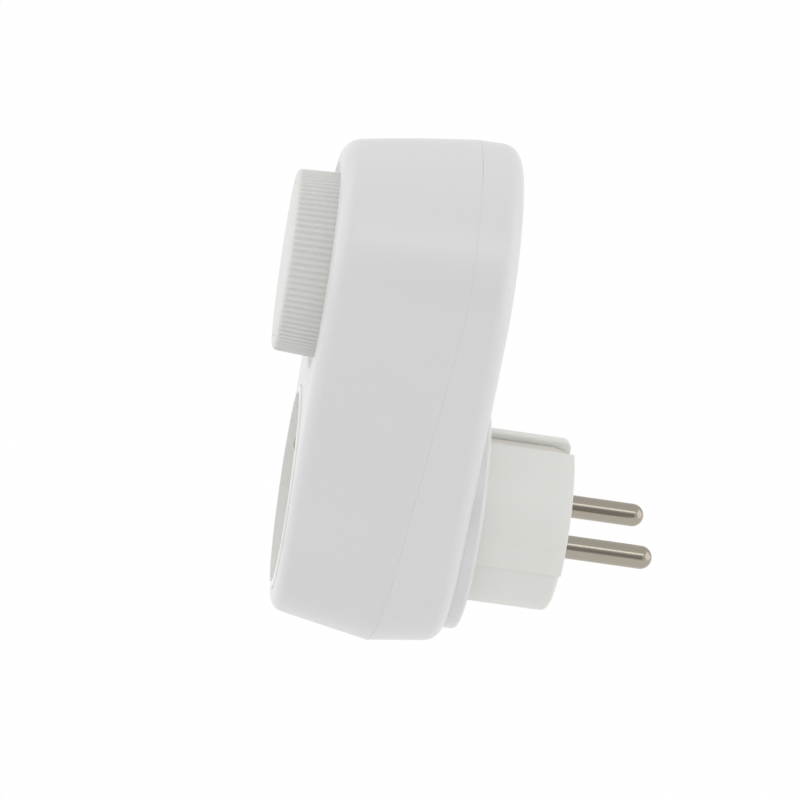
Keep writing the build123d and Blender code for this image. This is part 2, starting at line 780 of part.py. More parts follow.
nut_seat_depth = front_depth - ring_depth
with BuildPart() as pot_nut:
    with BuildSketch(at_depth(nut_seat_depth)):
        with Locations((0, axis_distance)):
            RegularPolygon(nut_across_flats / 2, 6, major_radius=False)
            Circle(bushing_radius + 0.02, mode=Mode.SUBTRACT)
    extrude(amount=nut_thickness)
pot_nut.part.label = "potentiometer_nut"

# Circuit board, cut round the screw bosses
with BuildPart() as circuit_board:
    with BuildSketch(at_depth(board_depth)):
        with Locations((0, axis_distance)):
            Circle(board_rise)
            Rectangle(2 * board_half_width, 2 * board_rise, mode=Mode.INTERSECT)
        with Locations((0, axis_distance - board_drop / 2)):
            Rectangle(2 * board_half_width, board_drop)
        with Locations(*screw_places):
            Circle(boss_radius + 0.3, mode=Mode.SUBTRACT)
    extrude(amount=board_thickness)
circuit_board.part.label = "circuit_board"

board_front_depth = board_depth + board_thickness
board_back_depth = board_depth

# Triac on its heat sink, behind the board
triac_z = axis_distance - 12.3
triac_x = -7.5
sink_thickness = 1.5
with BuildPart() as triac:
    with BuildSketch(at_depth(board_back_depth - 6.0)):
        with Locations((triac_x, triac_z + 2.6)):
            Rectangle(10, 9)
    extrude(amount=4.4)
    with BuildSketch(at_depth(board_back_depth - 6.0)):
        with Locations((triac_x, triac_z + 7)):
            Rectangle(10, 15.6)
        with Locations((triac_x, triac_z + 11.5)):
            Circle(1.8, mode=Mode.SUBTRACT)
    extrude(amount=1.3)
    with BuildSketch(at_depth(board_back_depth - 3.4)):
        with Locations((triac_x - 2.54, triac_z - 3.4), (triac_x, triac_z - 3.4), (triac_x + 2.54, triac_z - 3.4)):
            Rectangle(0.8, 3.2)
    extrude(amount=0.6)
    with BuildSketch(at_depth(board_back_depth - 3.4)):
        with Locations((triac_x - 2.54, triac_z - 4.6), (triac_x, triac_z - 4.6), (triac_x + 2.54, triac_z - 4.6)):
            Rectangle(0.8, 0.8)
    extrude(amount=3.4)
triac.part.label = "triac"

with BuildPart() as heat_sink:
    with BuildSketch(Plane.XY.offset(triac_z - 1.0)):
        with BuildLine():
            sink_y = -(board_back_depth - 6.0)
            Polyline(
                (triac_x - 8, sink_y - 5.6),
                (triac_x - 8, sink_y + sink_thickness),
                (triac_x + 7, sink_y + sink_thickness),
                (triac_x + 7, sink_y),
                (triac_x - 8 + sink_thickness, sink_y),
                (triac_x - 8 + sink_thickness, sink_y - 5.6),
                close=True,
            )
        make_face()
    extrude(amount=18)
heat_sink.part.label = "heat_sink"

# Suppression choke: toroid core with its winding, lying flat behind the board
choke_x = 0.0
choke_z = axis_distance + choke_rise
choke_depth = board_back_depth - 1.3 - core_height
with BuildPart() as choke_core:
    with BuildSketch(at_depth(choke_depth)):
        with Locations((choke_x, choke_z)):
            Circle(core_outer)
            Circle(core_inner, mode=Mode.SUBTRACT)
    extrude(amount=core_height)
choke_core.part.label = "choke_core"

turn_count = 14
wire_radius = 0.5
with BuildPart() as choke_winding:
    turn_plane = Plane.XZ.offset(choke_depth + core_height / 2)
    middle_radius = (core_outer + core_inner) / 2
    for turn in range(turn_count):
        angle = 30 + 300 * turn / (turn_count - 1)
        turn_origin = (
            choke_x + middle_radius * sin(radians(angle)),
            -choke_depth - core_height / 2,
            choke_z + middle_radius * cos(radians(angle)),
        )
        radial = (sin(radians(angle)), 0, cos(radians(angle)))
        across = (cos(radians(angle)), 0, -sin(radians(angle)))
        with BuildSketch(Plane(origin=turn_origin, x_dir=radial, z_dir=across)):
            Rectangle(core_outer - core_inner + 4 * wire_radius, core_height + 4 * wire_radius)
            Rectangle(core_outer - core_inner + 0.1, core_height + 0.1, mode=Mode.SUBTRACT)
        extrude(amount=wire_radius * 0.8, both=True)
choke_winding.part.label = "choke_winding"

# Suppression capacitor, behind the board
with BuildPart() as suppression_capacitor:
    with BuildSketch(at_depth(board_back_depth - film_height)):
        with Locations((film_x, axis_distance - film_drop)):
            RectangleRounded(film_width, film_length, 0.8)
    extrude(amount=film_height)
    fillet(suppression_capacitor.faces().sort_by(Axis.Y)[-1].edges(), 0.6)
suppression_capacitor.part.label = "suppression_capacitor"

# Small parts on the front of the board
with BuildPart() as timing_capacitor:
    with BuildSketch(at_depth(board_front_depth)):
        with Locations((-small_part_x, axis_distance - timing_drop)):
            RectangleRounded(timing_width, timing_length, 0.6)
    extrude(amount=timing_height)
    fillet(timing_capacitor.faces().sort_by(Axis.Y)[0].edges(), 0.6)
timing_capacitor.part.label = "timing_capacitor"

resistor_places = [
    (small_part_x, axis_distance - timing_drop),
    (small_part_x, axis_distance + timing_drop + 1.4),
    (-small_part_x, axis_distance + timing_drop + 0.4),
]
with BuildPart() as resistors:
    for place_x, place_z in resistor_places:
        with BuildSketch(Plane.XY.offset(place_z - 3.2)):
            with Locations((place_x, -board_front_depth - 1.7)):
                Circle(1.15)
        extrude(amount=6.4)
        with BuildSketch(Plane.XY.offset(place_z - 4.6)):
            with Locations((place_x, -board_front_depth - 1.7)):
                Circle(0.35)
        extrude(amount=9.2)
        with BuildSketch(at_depth(board_front_depth)):
            with Locations((place_x, place_z - 4.4), (place_x, place_z + 4.4)):
                Circle(0.35)
        extrude(amount=1.7)
resistors.part.label = "resistors"

diac_z = axis_distance - 13.3
with BuildPart() as diac:
    with BuildSketch(Plane.XY.offset(diac_z - 1.9)):
        with Locations((9.0, -board_front_depth - 1.4)):
            Circle(0.95)
    extrude(amount=3.8)
    with BuildSketch(Plane.XY.offset(diac_z - 3.1)):
        with Locations((9.0, -board_front_depth - 1.4)):
            Circle(0.3)
    extrude(amount=6.2)
    with BuildSketch(at_depth(board_front_depth)):
        with Locations((9.0, diac_z - 2.9), (9.0, diac_z + 2.9)):
            Circle(0.3)
    extrude(amount=1.4)
diac.part.label = "diac"

# Glass fuse in two clips, across the bottom of the board
fuse_z = axis_distance - fuse_drop
fuse_depth = board_front_depth + fuse_radius + 1.0
with BuildPart() as fuse:
    with BuildSketch(Plane.YZ.offset(-fuse_half)):
        with Locations((-fuse_depth, fuse_z)):
            Circle(fuse_radius)
    extrude(amount=fuse_cap_length)
    with BuildSketch(Plane.YZ.offset(fuse_half)):
        with Locations((-fuse_depth, fuse_z)):
            Circle(fuse_radius)
    extrude(amount=-fuse_cap_length)
    with BuildSketch(Plane.YZ.offset(-fuse_half)):
        with Locations((-fuse_depth, fuse_z)):
            Circle(fuse_radius - 0.25)
    extrude(amount=2 * fuse_half)
fuse.part.label = "fuse"

with BuildPart() as fuse_clips:
    for clip_x in (-fuse_half + 1.0, fuse_half - 1.0 - 3.4):
        with BuildSketch(Plane.YZ.offset(clip_x)):
            with Locations((-fuse_depth, fuse_z)):
                Circle(fuse_radius + 0.65)
                Circle(fuse_radius + 0.05, mode=Mode.SUBTRACT)
            with Locations((-fuse_depth - fuse_radius, fuse_z)):
                Rectangle(3.4, 2.6, mode=Mode.SUBTRACT)
            with Locations((-board_front_depth - 0.4, fuse_z)):
                Rectangle(0.8, 3.2)
        extrude(amount=3.4)
fuse_clips.part.label = "fuse_clips"


def wire(points, bend):
    """Insulated wire along a few straight runs with round bends."""
    with BuildPart() as run:
        with BuildLine():
            route = FilletPolyline(*points, radius=bend)
        with BuildSketch(Plane(origin=route @ 0, z_dir=route % 0)):
            Circle(insulation_radius)
        sweep()
    return run.part


insulation_radius = 0.9
lug_depth = flange_depth + strip_thickness + insulation_radius
tail_depth = carrier_depth - 0.2 - insulation_radius
lug_wire_z = -4.2
tail_wire_z = -7.0 - strip_thickness / 2 - insulation_radius
outer_wire_x = pin_spacing / 2 + pin_radius + insulation_radius + 0.6
inner_wire_x = pin_spacing / 2 - pin_radius - insulation_radius - 0.6
step_z = window_bottom + 1.6
run_depth = inner_back_depth + insulation_radius + 3
wire_end_z = axis_distance - board_drop + 5.4


def board_wire(side, start_x, start_z, wire_x, start_depth):
    """Wire from a terminal in the socket, up behind the carrier and through the window to the board."""
    return wire(
        [
            (side * start_x, -start_depth, start_z),
            (side * wire_x, -start_depth, start_z),
            (side * wire_x, -start_depth, step_z),
            (side * wire_x, -run_depth, step_z + 4.5),
            (side * wire_x, -run_depth, wire_end_z),
            (side * wire_x, -board_back_depth, wire_end_z),
        ],
        1.8,
    )


# The wires run up behind the contact carrier, through the skirt's window, to the board
supply_wire = board_wire(-1, pin_spacing / 2 - 1, lug_wire_z, outer_wire_x, lug_depth)
supply_wire.label = "supply_wire"

load_wire = board_wire(-1, pin_spacing / 2 + 1.4, tail_wire_z, inner_wire_x, tail_depth)
load_wire.label = "load_wire"

neutral_wire = board_wire(1, pin_spacing / 2 + 1.4, tail_wire_z, inner_wire_x, tail_depth)
neutral_wire.label = "neutral_wire"

neutral_link = wire(
    [
        (pin_spacing / 2 - 1, -lug_depth, lug_wire_z),
        (outer_wire_x + 0.4, -lug_depth, lug_wire_z),
        (outer_wire_x + 0.4, -lug_depth, tail_wire_z - 2.2),
        (pin_spacing / 2 - 1.4, -lug_depth, tail_wire_z - 2.2),
    ],
    1.8,
)
neutral_link.label = "neutral_link"

# Every piece goes to its own file
pieces = [
    front_shell.part,
    rear_shell.part,
    housing_screws.part,
    plug_body.part,
    plug_pin_live,
    plug_pin_neutral,
    earth_strap.part,
    earth_clip_upper,
    earth_clip_lower,
    plug_earth_contact.part,
    socket_insert.part,
    contact_housing.part,
    socket_earth_pin.part,
    shutter.part,
    shutter_spring.part,
    contact_carrier.part,
    live_contact,
    neutral_contact,
    knob.part,
    knob_face.part,
    pot_bushing.part,
    pot_can.part,
    pot_switch.part,
    pot_shaft.part,
    pot_washer.part,
    pot_nut.part,
    circuit_board.part,
    triac.part,
    heat_sink.part,
    choke_core.part,
    choke_winding.part,
    suppression_capacitor.part,
    timing_capacitor.part,
    resistors.part,
    diac.part,
    fuse.part,
    fuse_clips.part,
    supply_wire,
    load_wire,
    neutral_wire,
    neutral_link,
]
os.makedirs("parts", exist_ok=True)
for piece in pieces:
    export_step(piece, f"parts/{piece.label}.step")
    print(piece.label, "volume", round(piece.volume, 1))
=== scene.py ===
import bpy
import bmesh
import numpy as np
from mathutils import Matrix, Vector
from mathutils.geometry import delaunay_2d_cdt


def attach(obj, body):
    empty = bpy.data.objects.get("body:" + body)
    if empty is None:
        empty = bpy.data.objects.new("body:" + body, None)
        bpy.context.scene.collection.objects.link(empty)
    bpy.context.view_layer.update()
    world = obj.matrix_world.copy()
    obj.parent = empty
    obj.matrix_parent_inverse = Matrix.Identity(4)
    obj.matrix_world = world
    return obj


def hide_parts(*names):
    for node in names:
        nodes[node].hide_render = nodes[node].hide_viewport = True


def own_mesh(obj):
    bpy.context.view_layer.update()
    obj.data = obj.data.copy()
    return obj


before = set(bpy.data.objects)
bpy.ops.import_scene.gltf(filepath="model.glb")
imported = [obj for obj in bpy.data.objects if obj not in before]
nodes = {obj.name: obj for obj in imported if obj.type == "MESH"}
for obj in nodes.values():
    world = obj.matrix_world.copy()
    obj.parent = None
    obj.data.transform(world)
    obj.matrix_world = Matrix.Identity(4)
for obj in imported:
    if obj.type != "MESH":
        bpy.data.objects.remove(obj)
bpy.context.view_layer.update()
print("frame loaded,", len(nodes), "nodes")

mm = 0.001


def hexToLinear(code):
    # sRGB hex to linear: each channel goes through the sRGB curve
    srgb = np.array([int(code[i:i + 2], 16) for i in (1, 3, 5)]) / 255.0
    lin = np.where(srgb <= 0.04045, srgb / 12.92, ((srgb + 0.055) / 1.055) ** 2.4)
    return (*lin.tolist(), 1.0)


def addNode(tree, kind, settings=None, links=None):
    # adds one node, sets its properties or input values, and joins its inputs
    node = tree.nodes.new(kind)
    for key, value in (settings or {}).items():
        if isinstance(key, str) and hasattr(node, key):
            setattr(node, key, value)
        else:
            node.inputs[key].default_value = value
    for key, source in (links or {}).items():
        tree.links.new(source, node.inputs[key])
    return node


def startMaterial(name):
    mat = bpy.data.materials.new(name)
    mat.use_nodes = True
    tree = mat.node_tree
    tree.nodes.clear()
    coords = addNode(tree, "ShaderNodeTexCoord")
    return mat, tree, coords.outputs["Object"]


def noiseOf(tree, place, spanMm, detail):
    # coordinates are in metres, so a scale of 1000 / span gives features of that many millimetres
    noise = addNode(tree, "ShaderNodeTexNoise", {"Scale": 1000 / spanMm, "Detail": detail}, {"Vector": place})
    return noise.outputs["Fac"]


def finishSkin(tree, look, colourNoise, surfaceNoise, bumpMm, shading):
    # one noise mixes the two colours; the other drives roughness and bump
    tint = addNode(tree, "ShaderNodeMix", {"data_type": "RGBA"}, {0: colourNoise})
    tint.inputs[6].default_value = hexToLinear(look["light"])
    tint.inputs[7].default_value = hexToLinear(look["dark"])
    gloss = addNode(tree, "ShaderNodeMapRange", {"To Min": look["rough"][0], "To Max": look["rough"][1]},
                    {"Value": surfaceNoise})
    bump = addNode(tree, "ShaderNodeBump", {"Strength": look["bump"], "Distance": bumpMm * mm},
                   {"Height": surfaceNoise})
    skin = addNode(tree, "ShaderNodeBsdfPrincipled", shading,
                   {"Base Color": tint.outputs[2], "Roughness": gloss.outputs[0], "Normal": bump.outputs[0]})
    addNode(tree, "ShaderNodeOutputMaterial", links={"Surface": skin.outputs[0]})


def mouldedPlastic(name, look):
    # injection-moulded plastic: a little uneven in colour, and an eroded grain that breaks up
    # its gloss; the grain is drawn coarser than the 0.05 mm taken as usual for such moulds
    mat, tree, place = startMaterial(name)
    cloud = noiseOf(tree, place, look["cloudMm"], 2.0)
    grain = noiseOf(tree, place, look["grainMm"], 3.0)
    finishSkin(tree, look, cloud, grain, look["bumpMm"], {"IOR": look["ior"]})
    return mat


lineBumpMm = 0.02


def platedMetal(name, look):
    # metal: colour and roughness vary a little along fine drawn or turned lines
    mat, tree, place = startMaterial(name)
    stretch = addNode(tree, "ShaderNodeMapping", {"Scale": look["lines"]}, {"Vector": place})
    lines = noiseOf(tree, stretch.outputs[0], look["lineMm"], 2.0)
    finishSkin(tree, look, lines, lines, lineBumpMm, {"Metallic": 1.0})
    return mat


# ABS housing: cool white, satin, from a finely eroded mould
absHousing = mouldedPlastic("ABS housing", {
    "light": "#E0E0E0", "dark": "#DDDDDD", "cloudMm": 30.0, "grainMm": 0.25,
    "rough": (0.26, 0.34), "bump": 0.12, "bumpMm": 0.03, "ior": 1.53})
# ABS knob: the same white, a little duller and warmer in its ribs
absKnob = mouldedPlastic("ABS knob", {
    "light": "#E0E1DE", "dark": "#DCDDD9", "cloudMm": 12.0, "grainMm": 0.25,
    "rough": (0.40, 0.50), "bump": 0.12, "bumpMm": 0.03, "ior": 1.53})
# polycarbonate socket insert: harder and slightly glossier than the housing
polycarbonate = mouldedPlastic("polycarbonate insert", {
    "light": "#F0F0EE", "dark": "#ECECEA", "cloudMm": 20.0, "grainMm": 0.3,
    "rough": (0.28, 0.36), "bump": 0.1, "bumpMm": 0.03, "ior": 1.58})
# polyamide plug body: white, matt from its mould
polyamide = mouldedPlastic("polyamide plug", {
    "light": "#E8E8E4", "dark": "#E4E4DF", "cloudMm": 15.0, "grainMm": 0.3,
    "rough": (0.40, 0.50), "bump": 0.15, "bumpMm": 0.03, "ior": 1.53})
# glass-filled polyamide inside: creamier, with a rougher skin
filledPolyamide = mouldedPlastic("glass-filled polyamide", {
    "light": "#E3E1D6", "dark": "#D8D5C8", "cloudMm": 6.0, "grainMm": 0.5,
    "rough": (0.5, 0.65), "bump": 0.3, "bumpMm": 0.05, "ior": 1.53})
# black moulded epoxy of semiconductors and the switch's phenolic case
blackEpoxy = mouldedPlastic("moulded epoxy", {
    "light": "#1C1C1E", "dark": "#121214", "cloudMm": 4.0, "grainMm": 0.2,
    "rough": (0.45, 0.6), "bump": 0.3, "bumpMm": 0.03, "ior": 1.55})
# glass-epoxy circuit board under green solder mask
solderMask = mouldedPlastic("solder mask on glass epoxy", {
    "light": "#2F6B3C", "dark": "#245A31", "cloudMm": 3.0, "grainMm": 0.6,
    "rough": (0.25, 0.4), "bump": 0.2, "bumpMm": 0.03, "ior": 1.5})
# sintered ferrite: dark, dull and slightly speckled
ferrite = mouldedPlastic("sintered ferrite", {
    "light": "#3A3A3D", "dark": "#2A2A2C", "cloudMm": 1.5, "grainMm": 0.3,
    "rough": (0.6, 0.8), "bump": 0.4, "bumpMm": 0.05, "ior": 1.6})
# film capacitors: glossy flame-retardant cases
filmCase = mouldedPlastic("film capacitor case", {
    "light": "#D9B83A", "dark": "#CBA92F", "cloudMm": 8.0, "grainMm": 0.5,
    "rough": (0.2, 0.3), "bump": 0.1, "bumpMm": 0.03, "ior": 1.55})
dippedCase = mouldedPlastic("dipped capacitor coat", {
    "light": "#A3271D", "dark": "#8E2018", "cloudMm": 3.0, "grainMm": 0.8,
    "rough": (0.15, 0.25), "bump": 0.2, "bumpMm": 0.05, "ior": 1.55})
# carbon film resistors: beige lacquer
resistorLacquer = mouldedPlastic("resistor lacquer", {
    "light": "#CDB48A", "dark": "#BFA57A", "cloudMm": 2.0, "grainMm": 0.4,
    "rough": (0.3, 0.4), "bump": 0.1, "bumpMm": 0.03, "ior": 1.5})
# PVC wire insulation, brown for live and blue for neutral
brownPvc = mouldedPlastic("brown PVC insulation", {
    "light": "#5A3020", "dark": "#4C281A", "cloudMm": 5.0, "grainMm": 0.4,
    "rough": (0.3, 0.42), "bump": 0.1, "bumpMm": 0.03, "ior": 1.52})
bluePvc = mouldedPlastic("blue PVC insulation", {
    "light": "#2A5BA8", "dark": "#234E92", "cloudMm": 5.0, "grainMm": 0.4,
    "rough": (0.3, 0.42), "bump": 0.1, "bumpMm": 0.03, "ior": 1.52})

# nickel-plated brass pins: bright, warm grey, turned and then barrel-plated
nickelPins = platedMetal("nickel-plated brass", {
    "light": "#B2AB9F", "dark": "#A59E91", "lines": (1, 12, 1), "lineMm": 0.8,
    "rough": (0.14, 0.22), "bump": 0.05})
# nickel-plated spring strip of the clips: paler, with the satin skin of rolled strip
nickelStrip = platedMetal("satin nickel plate", {
    "light": "#EEECE7", "dark": "#E4E2DC", "lines": (1, 12, 1), "lineMm": 0.8,
    "rough": (0.5, 0.62), "bump": 0.05})
# stamped brass of contacts and strap
stampedBrass = platedMetal("stamped brass", {
    "light": "#D8B063", "dark": "#C79C4C", "lines": (1, 1, 8), "lineMm": 0.5,
    "rough": (0.25, 0.38), "bump": 0.1})
# zinc-plated steel of screws, nut, washer and potentiometer
zincSteel = platedMetal("zinc-plated steel", {
    "light": "#C4C8CC", "dark": "#B2B6BB", "lines": (4, 1, 4), "lineMm": 0.6,
    "rough": (0.28, 0.4), "bump": 0.1})
# drawn spring steel wire
springSteel = platedMetal("spring steel wire", {
    "light": "#A9A9AB", "dark": "#959597", "lines": (1, 1, 1), "lineMm": 0.3,
    "rough": (0.25, 0.35), "bump": 0.05})
# mill-finish aluminium sheet of the heat sink
millAluminium = platedMetal("mill-finish aluminium", {
    "light": "#CFD1D3", "dark": "#BFC1C4", "lines": (10, 1, 1), "lineMm": 0.8,
    "rough": (0.35, 0.5), "bump": 0.1})
# enamelled copper winding
enamelCopper = platedMetal("enamelled copper", {
    "light": "#B5623A", "dark": "#A1532E", "lines": (1, 6, 1), "lineMm": 0.6,
    "rough": (0.18, 0.28), "bump": 0.05})

# soda-lime glass tube of the fuse and the diac
glassLook = {"ior": 1.52, "rough": 0.03, "tint": "#F2F6F4", "waverMm": 4.0, "bump": 0.05, "bumpMm": 0.02}
glassTube, tree, place = startMaterial("soda-lime glass")
waver = noiseOf(tree, place, glassLook["waverMm"], 1.0)
ripple = addNode(tree, "ShaderNodeBump",
                 {"Strength": glassLook["bump"], "Distance": glassLook["bumpMm"] * mm}, {"Height": waver})
glassSkin = addNode(tree, "ShaderNodeBsdfPrincipled",
                    {"IOR": glassLook["ior"], "Roughness": glassLook["rough"], "Transmission Weight": 1.0,
                     "Base Color": hexToLinear(glassLook["tint"])}, {"Normal": ripple.outputs[0]})
addNode(tree, "ShaderNodeOutputMaterial", links={"Surface": glassSkin.outputs[0]})
print("materials made")

finishes = {
    absHousing: ["front_shell", "rear_shell"],
    absKnob: ["knob", "knob_face"],
    polycarbonate: ["socket_insert", "contact_housing"],
    polyamide: ["plug_body"],
    filledPolyamide: ["shutter", "contact_carrier", "potentiometer_shaft"],
    nickelPins: ["plug_pin_live", "plug_pin_neutral", "socket_earth_pin"],
    nickelStrip: ["earth_clip_upper", "earth_clip_lower", "plug_earth_contact"],
    stampedBrass: ["earth_strap", "live_contact", "neutral_contact", "fuse_clips"],
    springSteel: ["shutter_spring"],
    zincSteel: ["housing_screws", "potentiometer_bushing", "potentiometer_can",
                "potentiometer_washer", "potentiometer_nut"],
    blackEpoxy: ["mains_switch", "triac"],
    millAluminium: ["heat_sink"],
    solderMask: ["circuit_board"],
    ferrite: ["choke_core"],
    enamelCopper: ["choke_winding"],
    filmCase: ["suppression_capacitor"],
    dippedCase: ["timing_capacitor"],
    resistorLacquer: ["resistors"],
    glassTube: ["fuse", "diac"],
    brownPvc: ["supply_wire", "load_wire"],
    bluePvc: ["neutral_wire", "neutral_link"],
}
for material, names in finishes.items():
    for nodeName in names:
        slots = nodes[nodeName].data.materials
        slots.clear()
        slots.append(material)


def gridFaces(rows, cols, wrapRows=False):
    # quads between neighbouring rows and columns; the last column always meets the first
    colA = np.arange(cols)
    colB = (colA + 1) % cols
    rowA = np.arange(rows if wrapRows else rows - 1)
    rowB = (rowA + 1) % rows
    quads = [rowA[:, None] * cols + colA, rowA[:, None] * cols + colB,
             rowB[:, None] * cols + colB, rowB[:, None] * cols + colA]
    return np.stack(quads, axis=-1).reshape(-1, 4)


def spun(profile, axisZ, count, axisX=0.0, closed=True):
    # each profile point (radius, depth) goes round an axis along Y: x = r sin a, z = r cos a
    ang = np.linspace(0, 2 * np.pi, count, endpoint=False)
    r, depth = np.asarray(profile, float).T
    pts = np.stack([axisX + r[:, None] * np.sin(ang), -depth[:, None] + 0 * ang,
                    axisZ + r[:, None] * np.cos(ang)], axis=-1)
    return pts.reshape(-1, 3), gridFaces(len(r), count, closed)


def arcPoints(centre, radius, first, last, span, share):
    # turns one unit direction into another: (sin((1 - s) w) a + sin(s w) b) / sin w
    return centre + radius * (np.sin((1 - share) * span) * first + np.sin(share * span) * last) / np.sin(span)


def rounded(corners, steps=6):
    # corners are (radius, depth, fillet); a fillet is an arc that touches both neighbouring runs
    out = []
    for i, (r, d, fillet) in enumerate(corners):
        here = np.array([r, d])
        if fillet <= 0:
            out.append(here)
            continue
        before = np.array(corners[i - 1][:2]) - here
        after = np.array(corners[(i + 1) % len(corners)][:2]) - here
        before, after = before / np.linalg.norm(before), after / np.linalg.norm(after)
        half = np.arccos(np.clip(before @ after, -1, 1)) / 2
        centre = here + (before + after) / np.linalg.norm(before + after) * fillet / np.sin(half)
        first = (here + before * fillet / np.tan(half) - centre) / fillet
        last = (here + after * fillet / np.tan(half) - centre) / fillet
        span = np.arccos(np.clip(first @ last, -1, 1))
        share = np.linspace(0, 1, steps + 1)[:, None]
        out.extend(arcPoints(centre, fillet, first, last, span, share))
    return np.array(out)


def ringOf(radius, axisZ, count, axisX=0.0):
    # points of a circle in x and z, in the same places as spun() puts them
    ang = np.linspace(0, 2 * np.pi, count, endpoint=False)
    return np.stack([axisX + radius * np.sin(ang), axisZ + radius * np.cos(ang)], axis=-1)


def flatFace(loops, depth):
    # fills the first loop less the loops inside it, at one depth, with triangles; a triangle
    # goes when a line from its centre crosses a hole's edge an odd number of times
    verts, edges, start = [], [], 0
    for loop in loops:
        n = len(loop)
        verts += [Vector(p) for p in np.asarray(loop, float).tolist()]
        edges += [(start + i, start + (i + 1) % n) for i in range(n)]
        start += n
    flat, _, tris, *_ = delaunay_2d_cdt(verts, edges, [], 1, 1e-7)
    pts = np.array([(v.x, -depth, v.y) for v in flat])
    tris = np.array([list(t) for t in tris])
    x, z = pts[tris][:, :, 0].mean(1)[:, None], pts[tris][:, :, 2].mean(1)[:, None]
    keep = np.ones(len(tris), bool)
    for loop in loops[1:]:
        a, b = np.asarray(loop, float), np.roll(np.asarray(loop, float), -1, axis=0)
        spans = (a[:, 1] > z) != (b[:, 1] > z)
        rise = np.where(a[:, 1] == b[:, 1], 1, b[:, 1] - a[:, 1])
        reach = a[:, 0] + (z - a[:, 1]) * (b[:, 0] - a[:, 0]) / rise
        keep &= (spans & (x < reach)).sum(1) % 2 == 0
    return pts, tris[keep]


def makePiece(name, parts, material, body, replaced, sharp=30.0):
    # joins (points, faces) surfaces in millimetres into one mesh; points closer than the weld
    # distance become one, and edges shorter than the tiny one go, both in metres
    weld, tiny = 2e-6, 1e-7
    points, faces, start = [], [], 0
    for pts, fcs in parts:
        points.append(np.asarray(pts, float).reshape(-1, 3))
        faces += (np.asarray(fcs) + start).tolist()
        start += len(points[-1])
    mesh = bpy.data.meshes.new(name)
    mesh.from_pydata((np.vstack(points) * mm).tolist(), [], faces)
    corners = np.empty(len(faces), np.int32)
    mesh.polygons.foreach_get("loop_total", corners)
    mesh.polygons.foreach_set("use_smooth", corners == 4)  # the triangles of a flat fill keep one normal
    work = bmesh.new()
    work.from_mesh(mesh)
    bmesh.ops.remove_doubles(work, verts=work.verts, dist=weld)
    bmesh.ops.dissolve_degenerate(work, edges=work.edges, dist=tiny)
    bmesh.ops.recalc_face_normals(work, faces=work.faces)
    work.to_mesh(mesh)
    work.free()
    mesh.set_sharp_from_angle(angle=np.radians(sharp))
    mesh.materials.append(material)
    piece = bpy.data.objects.new(name, mesh)
    bpy.context.scene.collection.objects.link(piece)
    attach(piece, body)
    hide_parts(*replaced)
    return piece


# housing shells
housing = {"front": 56.7, "back": 21.2, "wall": 2.2, "axisZ": 49.8, "frontR": 25.05,
           "middleShare": 0.364, "middleTop": 27.3, "middleEnd": 27.45, "creaseTop": 29.2, "creaseEnd": 28.9,
           "backTop": 29.1, "backEnd": 26.95, "edgeTop": 4.5, "edgeEnd": 3.1, "backEdge": 3.8,
           "innerEdge": 1.2, "seamTop": 29.9, "seamEnd": 36.3, "bendZ": 57.0, "bendR": 160.0, "seamBreak": 0.06,
           "ringR": 20.9, "ringSlope": 0.7, "ringDepth": 0.55, "socketHole": 21.15, "shaftHole": 4.65,
           "frontBand": 0.15, "rearBand": 0.5, "innerBand": 0.3, "arcCount": 120, "sideCount": 40,
           "holeCount": 96, "outerSteps": 14, "innerSteps": 5}
screws = {"places": [(-12.8, 65.6), (12.8, 65.6), (-19.2, 33.0), (19.2, 33.0)], "bossR": 3.3,
          "bossEnd": 32.4, "bossSink": 0.4, "pilot": 1.55, "pilotEnd": 41.2, "seat": 30.05, "tubeEnd": 32.25,
          "tubeSink": 0.6, "clearance": 1.65, "well": 2.95, "count": 32}
# the raised disc round the plug; its bore takes the plug body and its hollow the plug's flange
disc = {"bore": 18.25, "face": 18.2, "radius": 24.2, "hollowR": 22.0, "hollowFront": 20.4,
        "boreEdge": 0.15, "edge": 1.0, "sink": 0.1, "count": 180}


def eggOutline(topR, endR):
    # arcs round the knob's and the socket's axis, joined by tangents; also the outward normal
    h = housing
    lean = np.arcsin((endR - topR) / h["axisZ"])
    topArc = np.linspace(lean, np.pi - lean, h["arcCount"])
    endArc = np.linspace(np.pi - lean, 2 * np.pi + lean, h["arcCount"])
    top = np.stack([topR * np.cos(topArc), h["axisZ"] + topR * np.sin(topArc)], -1)
    end = np.stack([endR * np.cos(endArc), endR * np.sin(endArc)], -1)
    share = np.linspace(0, 1, h["sideCount"] + 2)[1:-1, None]
    left = top[-1] * (1 - share) + end[0] * share
    right = end[-1] * (1 - share) + top[0] * share
    turn = np.concatenate([topArc, np.full(len(left), np.pi - lean), endArc, np.full(len(right), lean)])
    return np.concatenate([top, left, end, right]), np.stack([np.cos(turn), np.sin(turn)], -1)


def sections(inset):
    # the four outlines that carry the shells, drawn in by the inset, as 3-D points
    h = housing
    height = h["axisZ"] + h["creaseTop"] + h["creaseEnd"]
    lean = np.arctan((h["seamEnd"] - h["seamTop"]) / height)
    creaseDepth = h["seamEnd"] - h["creaseEnd"] * np.tan(lean)
    middleDepth = h["front"] - h["middleShare"] * (h["front"] - h["back"])
    made = []
    for topR, endR, depth, tilt in (
            (h["frontR"], h["frontR"], h["front"] - inset, 0),
            (h["middleTop"], h["middleEnd"], middleDepth, 0),
            (h["creaseTop"], h["creaseEnd"], creaseDepth, lean),
            (h["backTop"], h["backEnd"], h["back"] + inset, 0)):
        flat, normal = eggOutline(topR - inset, endR - inset)
        made.append(np.stack([flat[:, 0], flat[:, 1] * np.sin(tilt) - depth, flat[:, 1] * np.cos(tilt)], -1))
    across = np.stack([normal[:, 0], 0 * normal[:, 0], normal[:, 1]], -1)
    return made, across


